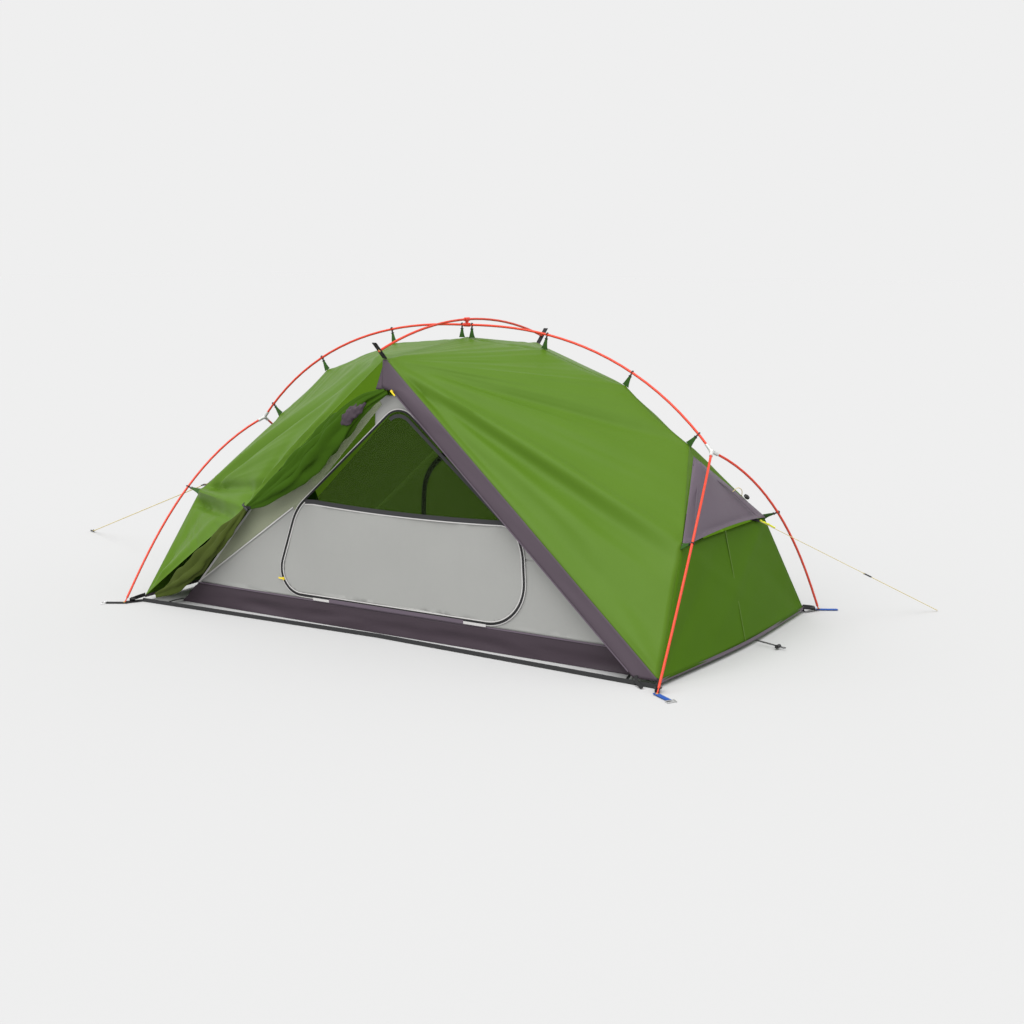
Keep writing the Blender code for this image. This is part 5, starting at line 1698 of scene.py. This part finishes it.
    def canopy(self) -> None:
        """Roof, ends and back wall, all in net."""
        edge = self.wall_edge()
        end_top = Vector((FRAME.hood_top.x - 0.155, 0, FRAME.hood_top.z - 0.105))
        roof = Vector((FRAME.ridge[1].x + 0.10, 0, FRAME.ridge[2].z - 0.085))
        peak = Vector((edge[-1].x, 0, FRAME.ridge[0].z - 0.085))
        corners: dict[str, Vector] = {}
        faces: list[tuple[str, ...]] = []
        for side in Side:
            s = side.name[0]
            for key, place in (("E", end_top), ("U", roof), ("C", peak)):
                corners[key + s] = mirror(place, side, Face.BACK)
            for face in Face:
                f = face.name[0]
                for i, p in enumerate(edge):
                    corners[f"S{i}{s}{f}"] = mirror((p.x, self.wall_y(p.y), p.y), side, face)
                chain = [f"S{i}{s}{f}" for i in range(4)]
                faces += [
                    (chain[0], "E" + s, chain[1]),
                    (chain[1], "E" + s, "U" + s),
                    (chain[1], "U" + s, chain[2]),
                    (chain[2], "U" + s, "C" + s),
                    (chain[2], "C" + s, chain[3]),
                ]
            faces.append((f"S0{s}F", f"S0{s}B", "E" + s))
        for face in Face:
            f = face.name[0]
            faces += [("CL", "CR", f"S3R{f}"), ("CL", f"S3R{f}", f"S3L{f}")]
        for i in range(3):
            faces += [
                (f"S{i}LB", f"S{i}RB", f"S{i + 1}RB"), (f"S{i}LB", f"S{i + 1}RB", f"S{i + 1}LB")
            ]
        panel = Panel(
            "inner_canopy_cloth", corners, faces, 9, 6, {}, (), 0.003, None, Vector((0, 0, 1)),
            0.05
        )
        area = panel.area()
        obj = thicken(add_piece(panel.name, panel.sheet(), NET), CLOTH_THICKNESS)
        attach(obj, "tent")
        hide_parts("inner_canopy")
        self.far_door()

    def far_door(self) -> None:
        """The zip band of the door in the back wall, a mirror image of the front one."""
        points = [Vector((-p.x, self.wall_y(p.y) - 0.004, p.y)) for p in self.door_outline(0.0)]
        line = Line(points, Vector((0, 1, 0)), True)
        fixed("far_door_zip", band(line, 0.026, TAPE_THICKNESS), STRAP)

    def build(self) -> None:
        """Builds the inner tent."""
        self.tub()
        self.canopy()
        self.wall()
        self.door()


def clipped(outline: Sequence[Vector], box: tuple[float, float, float, float]) -> list[Vector]:
    """The part of a flat outline inside a box of (low x, high x, low y, high y)."""
    points = [Vector(p) for p in outline]
    for axis, limit, sign in ((0, box[0], 1), (0, box[1], -1), (1, box[2], 1), (1, box[3], -1)):
        found = []
        for a, b in zip(points, [*points[1:], points[0]]):
            da, db = sign * (a[axis] - limit), sign * (b[axis] - limit)
            if da >= 0:
                found.append(a)
            if (da >= 0) != (db >= 0):
                found.append(a.lerp(b, da / (da - db)))
        points = found
    return points


def inside(point: Vector, outline: Sequence[Vector]) -> bool:
    """Whether a flat point is within an outline."""
    found = False
    count = len(outline)
    for i in range(count):
        a, b = outline[i], outline[(i + 1) % count]
        if (a.y > point.y) != (b.y > point.y):
            if point.x < (b.x - a.x) * (point.y - a.y) / (b.y - a.y) + a.x:
                found = not found
    return found


# ---------------------------------------------------------------- poles, hubs, hooks


@dataclass
class Poles:
    """The pole frame, which keeps its CAD shapes under a finish."""

    def dress(self, node: str, finish: Finish) -> None:
        """Gives a CAD node a finish and smooth shading between its sharp edges."""
        obj = frame_nodes()[node]
        obj.data.materials.clear()
        obj.data.materials.append(finish.material())
        obj.data.polygons.foreach_set("use_smooth", [True] * len(obj.data.polygons))
        weld = obj.modifiers.new("Weld", "WELD")
        weld.merge_threshold = 1e-6
        split = obj.modifiers.new("Sharp edges", "EDGE_SPLIT")
        split.split_angle = math.radians(35)

    def build(self) -> None:
        """Dresses every pole, hub and clip."""
        for name in frame_nodes():
            if name.startswith(("ridge_pole", "leg_front", "leg_back", "cross_pole")):
                self.dress(name, POLE)
            elif name.startswith("hub"):
                self.dress(name, HUB)
            elif name.startswith("swivel"):
                self.dress(name, CLIP)


@dataclass
class Hooks:
    """A black hook on the pole with a tapered green tab sewn to the fly."""

    pole_r: float = 0.00475
    wire: float = 0.0021
    tab_low: float = 0.030
    tab_high: float = 0.010
    pole_over: dict[float, tuple[float, float]] = field(
        default_factory=lambda: {
            0.3653: (0.3776, 1.1357),
            0.7263: (0.7538, 1.0039),
            0.9962: (1.0356, 0.7884),
        }
    )

    def make(
        self, label: str, node: str, pole: Vector, along: Vector, fly: Vector, across: Vector
    ) -> None:
        """One hook and its tab.

        Args:
            label: the pieces' name.
            node: the CAD node that they stand for, or nothing.
            pole: the pole's axis there.
            along: the pole's direction.
            fly: where the tab is sewn on.
            across: the direction of the tab's width.
        """
        down = (fly - pole).normalized()
        radius = self.pole_r + self.wire + 0.0004
        hook = torus(pole, along, radius, self.wire, math.radians(-30), math.radians(290), down)
        low = pole + down * 0.022
        stem = box_shape(
            (
                pole + down * (radius + 0.004)
            ), (down, along, down.cross(along)), (0.012, 0.006, 0.005), 0.001
        )
        bar = box_shape(
            low - down * 0.006, (along, down, along.cross(down)), (0.014, 0.004, 0.0045), 0.001
        )
        piece = fixed(f"{label}_hook", merged((hook, stem, bar)), BLACK)
        if node:
            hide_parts(node)
        normal = down.cross(across).normalized()
        line = Line([fly, fly.lerp(low, 0.5) + normal * 0.001, low - down * 0.004], normal)
        share = self.tab_high / self.tab_low
        tab = band(line, self.tab_low, 0.0018, 0.0, 8, lambda s: 1 + (share - 1) * s**0.7)
        fixed(f"{label}_tab", tab, TAB)

    def build(self) -> None:
        """Builds the hooks along the ridge pole and on the legs."""
        count = 0
        for side, order in ((Side.LEFT, (3, 2, 1)), (Side.RIGHT, (1, 2, 3))):
            for i in order:
                count += 1
                fly = mirror(FRAME.ridge[i], side, Face.BACK)
                pole, along = self.ridge_axis(fly)
                self.make(f"ridge_{count}", f"ridge_hook_{count}", pole, along, fly, along)
        for label, x in (("a", -0.024), ("b", 0.024)):
            node = "ridge_hook_top_pair" if label == "a" else ""
            self.make(
                f"ridge_top_{label}", node, Vector((x, 0, 1.1637)), Vector((1, 0, 0)),
                Vector((x, 0, 1.113)), Vector((1, 0, 0))
            )
        for side in Side:
            for face in Face:
                label = f"{face.name.lower()}_{side.name.lower()}"
                pole = mirror((1.2016, 0.3776, 0.454), side, face)
                along = mirror((0.133, 0.700, -0.702), side, face).normalized()
                fly = mirror(FRAME.middle, side, face)
                across = (mirror(FRAME.hood_top, side, face) - fly).normalized()
                self.make(f"leg_{label}", f"leg_hook_{label}", pole, along, fly, across)

    def ridge_axis(self, fly: Vector) -> tuple[Vector, Vector]:
        """The ridge pole's axis over a place on the fly's ridge, and its direction there."""
        nearest = min(self.pole_over, key=lambda x: abs(x - abs(fly.x)))
        x, z = self.pole_over[nearest]
        point = Vector((x if fly.x > 0 else -x, 0, z))
        out = (point - fly).normalized()
        return point, Vector((out.z, 0, -out.x))


# ---------------------------------------------------------------- straps and lines


@dataclass
class Straps:
    """Ground tapes, corner webbing, apex straps, eyelets and rings."""

    def apex(self) -> None:
        """The webbing at each end of the cross pole."""
        for face in Face:
            label = face.name.lower()
            low = mirror(FRAME.apex, Side.RIGHT, face)
            eyelet = Vector((0, face.value * 0.579, 1.092))
            along = (eyelet - low).normalized()
            line = Line(
                [low + along * 0.002, eyelet, eyelet + along * 0.045],
                Vector((0, face.value * 0.7, -0.7))
            )
            strap = fixed(f"apex_webbing_{label}", band(line, 0.020, 0.0022), STRAP)
            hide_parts(f"apex_strap_{label}")
            normal = Vector((0, face.value * 0.7, -0.7)).normalized()
            ring = torus(eyelet + normal * 0.0012, normal, 0.0048, 0.0014)
            fixed(f"apex_eyelet_{label}", ring, BRASS)

    def ground(self) -> None:
        """The tapes along the ground, with blue corner webbing and eyelets."""
        for face in Face:
            label = face.name.lower()
            row = [(-1.250, 0.724), (-1.215, 0.655), (0.0, 0.610), (1.215, 0.655), (1.250, 0.724)]
            points = [Vector((x, y * face.value, 0.0012)) for x, y in row]
            lean = Vector((0, 0.8 * face.value, 0.6))
            rise = Vector((0, 0, 0.006))
            left = Line(
                [p + rise * 0.5 for p in points[:2]], (lean + Vector((0, 0, 0.6))).normalized()
            )
            middle = Line([p + rise for p in points[1:4]], lean)
            right = Line(
                [p + rise * 0.5 for p in points[3:]], (lean + Vector((0, 0, 0.6))).normalized()
            )
            tape = merged(
                (
                    band(left, 0.016, 0.0022), band(middle, 0.015, 0.0024, 0.0, 90),
                    band(right, 0.016, 0.0022)
                )
            )
            obj = fixed(f"ground_tape_{label}", tape, STRAP)
            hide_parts(f"base_strap_{label}")
            for side in Side:
                self.corner(f"{label}_{side.name.lower()}", side, face)

    def corner(self, label: str, side: Side, face: Face) -> None:
        """One corner's webbing: eyelet, blue loop, buckle and the link to the fly."""
        foot = mirror((1.250, 0.724, 0), side, face)
        end = mirror((1.316, 0.764, 0), side, face)
        up = Vector((0, 0, 1))
        out = (end - foot).normalized()
        blue = BLUE if side is Side.RIGHT else STRAP
        tab = Line([foot - out * 0.012 + up * 0.004, foot + up * 0.0035, end + up * 0.003], up)
        fixed(f"corner_tab_{label}", band(tab, 0.018, 0.003), blue)
        eyelet = torus(foot + up * 0.006, up, 0.0048, 0.0014)
        fixed(f"corner_eyelet_{label}", eyelet, BRASS)
        fly = mirror(FRAME.ground, side, face)
        low = foot.lerp(fly, 0.25) + up * 0.006
        link = smooth_line(
            [fly + up * 0.006, fly.lerp(low, 0.5) + up * 0.004, low],
            mirror((1, 0, 0.5), side, face)
        )
        fixed(f"corner_link_{label}", band(link, 0.020, 0.0024), STRAP)
        axes = (out, up.cross(out), up)
        buckle = box_shape(foot.lerp(fly, 0.42) + up * 0.008, axes, (0.022, 0.020, 0.007), 0.0015)
        fixed(f"corner_buckle_{label}", buckle, BLACK)

    def tub_ties(self) -> None:
        """Short cords from the floor's corners to the ground tapes."""
        for side in Side:
            for face in Face:
                start = mirror((1.070, 0.560, 0.012), side, face)
                end = mirror((1.090, 0.645, 0.005), side, face)
                line = smooth_line([start, start.lerp(end, 0.5) + Vector((0, 0, 0.003)), end])
                label = f"tub_tie_{face.name.lower()}_{side.name.lower()}"
                fixed(label, band(line, 0.010, 0.0018), STRAP)

    def build(self) -> None:
        """Builds the straps."""
        self.apex()
        self.ground()
        self.tub_ties()


@dataclass
class Guys:
    """The guy lines, their runners and the elastic peg loop."""

    radius: float = 0.00125
    gap: float = 0.005

    def route(
        self, start: Vector, end: Vector, runner_at: float, gap: float, taper: float
    ) -> list[Vector]:
        """A line out to its end, round a small loop there and back to its runner."""
        along = end - start
        length = along.length
        along = along.normalized()
        across = Vector((-along.y, along.x, 0)).normalized()
        half, loop_r = gap / 2, 0.007
        center_at = length - loop_r
        opening = math.radians(150)
        places = [(0.0, -half), (runner_at, -half), (center_at - taper, -half)]
        for k in range(7):
            angle = -opening + 2 * opening * k / 6
            places.append((center_at + loop_r * math.cos(angle), loop_r * math.sin(angle)))
        places += [(center_at - taper, half), (runner_at + 0.0003, half)]
        return [start + along * u + across * (v + half) for u, v in places]

    def cord(
        self, name: str, points: Sequence[Vector], finish: Finish, slot: str
    ) -> bpy.types.Object:
        """A cord as a curve of one open spline."""
        curve = bpy.data.curves.new(name, "CURVE")
        curve.dimensions = "3D"
        curve.bevel_depth = self.radius
        curve.bevel_resolution = 3
        curve.use_fill_caps = True
        spline = curve.splines.new("POLY")
        spline.points.add(len(points) - 1)
        for target, point in zip(spline.points, points):
            target.co = (*point, 1.0)
        obj = bpy.data.objects.new(name, curve)
        obj.data.materials.append(finish.material())
        bpy.context.scene.collection.objects.link(obj)
        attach(obj, "tent")
        return obj

    def build(self) -> None:
        right_start = Vector((1.1656, 0.2871, 0.4300))
        left_start = Vector((-1.1496, -0.2841, 0.4680))
        hem = Vector((1.258, 0.062, 0.018))
        rows = (
            (
                "guy_cord_right", "guy_line_right", right_start,
                Vector((1.6676, 0.9661, 0.004)), 0.545, self.gap, 0.045, PALE_CORD, "guy_cord",
                ["guy_runner_right"]
            ),
            (
                "guy_cord_left", "guy_line_left", left_start, Vector((-2.5996, 0.3469, 0.009)),
                0.075, self.gap, 0.045, PALE_CORD, "guy_cord",
                ["guy_runner_left", "guy_end_left"]
            ),
            (
                "end_elastic_cord", "end_peg_elastic", hem, Vector((1.385, 0.044, 0.0085)), 0.0,
                0.009, 0.014, BLACK_CORD, "webbing", ["cord_lock", "cord_lock_button"]
            ),
        )
        for name, node, start, end, at, gap, taper, finish, slot, pieces in rows:
            points = self.route(start, end, at, gap, taper)
            obj = self.cord(name, points, finish, slot)
            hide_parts(node)
            length = sum((b - a).length for a, b in zip(points, points[1:]))
            tuple(points[0])
            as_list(pieces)
            log.info("cord %s, %.2f m", name, length)
        for node in (
            "guy_runner_left", "guy_runner_right", "guy_end_left", "cord_lock",
            "cord_lock_button"
        ):
            Poles().dress(node, BLACK)
        self.start_tabs(right_start, left_start)
        self.hood_loop()

    def start_tabs(self, right: Vector, left: Vector) -> None:
        """Where each guy leaves the hood: webbing, and a bright loop on the right."""
        tab = smooth_line(
            [
                right + Vector((-0.022, -0.040, 0.012)),
                right + Vector((-0.008, -0.014, 0.006)), right
            ],
            Vector((1, 0, 0.6))
        )
        fixed("guy_tab_right", band(tab, 0.012, 0.002), STRAP)
        along = Vector((0.531, 0.718, -0.450))
        loop = smooth_line(
            [
                right + along * s + Vector((0.003 * math.sin(s * 200), 0, 0.004))
                for s in (0.002, 0.02, 0.04, 0.06, 0.075)
            ]
        )
        fixed(
            "guy_knot_right", rod(loop, 0.003, 8, 20, lambda s: 1 + 0.35 * math.sin(s * 26)),
            BRIGHT_CORD
        )
        tab = smooth_line(
            [left + Vector((0.024, 0.030, 0.016)), left + Vector((0.008, 0.010, 0.006)), left],
            Vector((-1, 0, 0.6))
        )
        fixed("guy_tab_left", band(tab, 0.012, 0.002), STRAP)

    def hood_loop(self) -> None:
        """The cord and lock that draw the right vent hood in."""
        points = [
            Vector(p)
            for p in (
                (1.0960, 0.179, 0.551), (1.112, 0.195, 0.567), (1.120, 0.215, 0.556),
                (1.1120, 0.235, 0.530)
            )
        ]
        fixed("hood_cord", rod(smooth_line(points), 0.0014, 8, 20), PALE_CORD)
        lock = Line(
            [Vector((1.112, 0.268, 0.527)), Vector((1.114, 0.290, 0.515))], Vector((0, 0, 1))
        )
        fixed(
            "hood_cord_lock",
            rod(lock, 0.0085, 12, 6, lambda s: 0.8 + 0.2 * math.sin(math.pi * s)), BLACK,
        )


def frame_nodes() -> dict[str, bpy.types.Object]:
    """The CAD nodes by name."""
    return FRAME_DATA["nodes"]


FRAME_DATA: dict[str, dict] = {}


@dataclass
class Hardware:
    """Zip sliders, pulls and peg rings."""

    def build(self) -> None:
        """Gives each of them its finish."""
        for node in ("fly_zip_slider", "inner_zip_slider", "fly_zip_pull", "inner_zip_pull"):
            Poles().dress(node, YELLOW)
        for node in ("peg_ring_front_left", "peg_ring_front_right"):
            Poles().dress(node, STEEL)


# ---------------------------------------------------------------- the studio


@dataclass
class Studio:
    """A pale floor, soft light and the camera."""

    camera_at: Vector = field(default_factory=lambda: Vector((3.508, -5.161, 1.473)))
    azimuth: float = 32.54
    elevation: float = 9.77
    lens: float = 54.14
    world: float = 0.863
    key_power: float = 3.1
    key_from: Vector = field(default_factory=lambda: Vector((0.02, -0.50, 0.86)))

    def camera(self) -> None:
        """The view from the front right."""
        data = bpy.data.cameras.new("camera")
        data.lens = self.lens
        data.sensor_width = 36.0
        data.clip_end = 200.0
        obj = bpy.data.objects.new("camera", data)
        a, e = math.radians(self.azimuth), math.radians(self.elevation)
        back = Vector((math.sin(a) * math.cos(e), -math.cos(a) * math.cos(e), math.sin(e)))
        obj.location = self.camera_at
        obj.rotation_mode = "QUATERNION"
        obj.rotation_quaternion = (-back).to_track_quat("-Z", "Y")
        bpy.context.scene.collection.objects.link(obj)
        bpy.context.scene.camera = obj

    def floor(self) -> None:
        """A wide pale floor."""
        bm = bmesh.new()
        bmesh.ops.create_grid(bm, x_segments=1, y_segments=1, size=60.0)
        bmesh.ops.translate(bm, vec=(0, 0, -0.001), verts=bm.verts)
        mesh = bpy.data.meshes.new("floor")
        bm.to_mesh(mesh)
        bm.free()
        obj = bpy.data.objects.new("floor", mesh)
        material = bpy.data.materials.new("pale_floor")
        material.use_nodes = True
        shader = material.node_tree.nodes["Principled BSDF"]
        shader.inputs["Base Color"].default_value = (*[self.floor_shade()] * 3, 1)
        shader.inputs["Roughness"].default_value = 1.0
        shader.inputs["Specular IOR Level"].default_value = 0.0
        mesh.materials.append(material)
        bpy.context.scene.collection.objects.link(obj)

    def key(self) -> None:
        """A very soft light from above and in front."""
        data = bpy.data.lights.new("key_light", "SUN")
        data.energy = self.key_power
        data.angle = math.radians(70)
        obj = bpy.data.objects.new("key_light", data)
        obj.rotation_mode = "QUATERNION"
        obj.rotation_quaternion = self.key_from.normalized().to_track_quat("Z", "Y")
        bpy.context.scene.collection.objects.link(obj)

    def floor_shade(self) -> float:
        """The floor's reflectance, which makes it as bright as the world behind it."""
        lit = self.world + self.key_power * self.key_from.normalized().z / math.pi
        return self.world / lit

    def build(self) -> None:
        """Sets up floor, lights and camera."""
        scene = bpy.context.scene
        scene.view_settings.view_transform = "Standard"
        world = bpy.data.worlds.new("pale_world")
        world.use_nodes = True
        world.node_tree.nodes["Background"].inputs["Color"].default_value = (*[self.world] * 3, 1)
        world.node_tree.nodes["Background"].inputs["Strength"].default_value = 1.0
        scene.world = world
        self.camera()
        self.floor()
        self.key()


def clear_start() -> None:
    """Removes what the scene starts with."""
    for name in ("Cube", "Light", "Camera"):
        obj = bpy.data.objects.get(name)
        if obj:
            bpy.data.objects.remove(obj, do_unlink=True)


def main() -> None:
    """Builds the tent, piece by piece."""
    logging.basicConfig(level=logging.INFO, format="%(message)s")
    clear_start()
    FRAME_DATA.update(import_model())
    Studio().build()
    Guys().build()
    Fly().build()
    Inner().build()
    Doorway().build()
    Poles().build()
    Hooks().build()
    Straps().build()
    Hardware().build()
    bpy.context.view_layer.update()


if __name__ == "__main__":
    main()
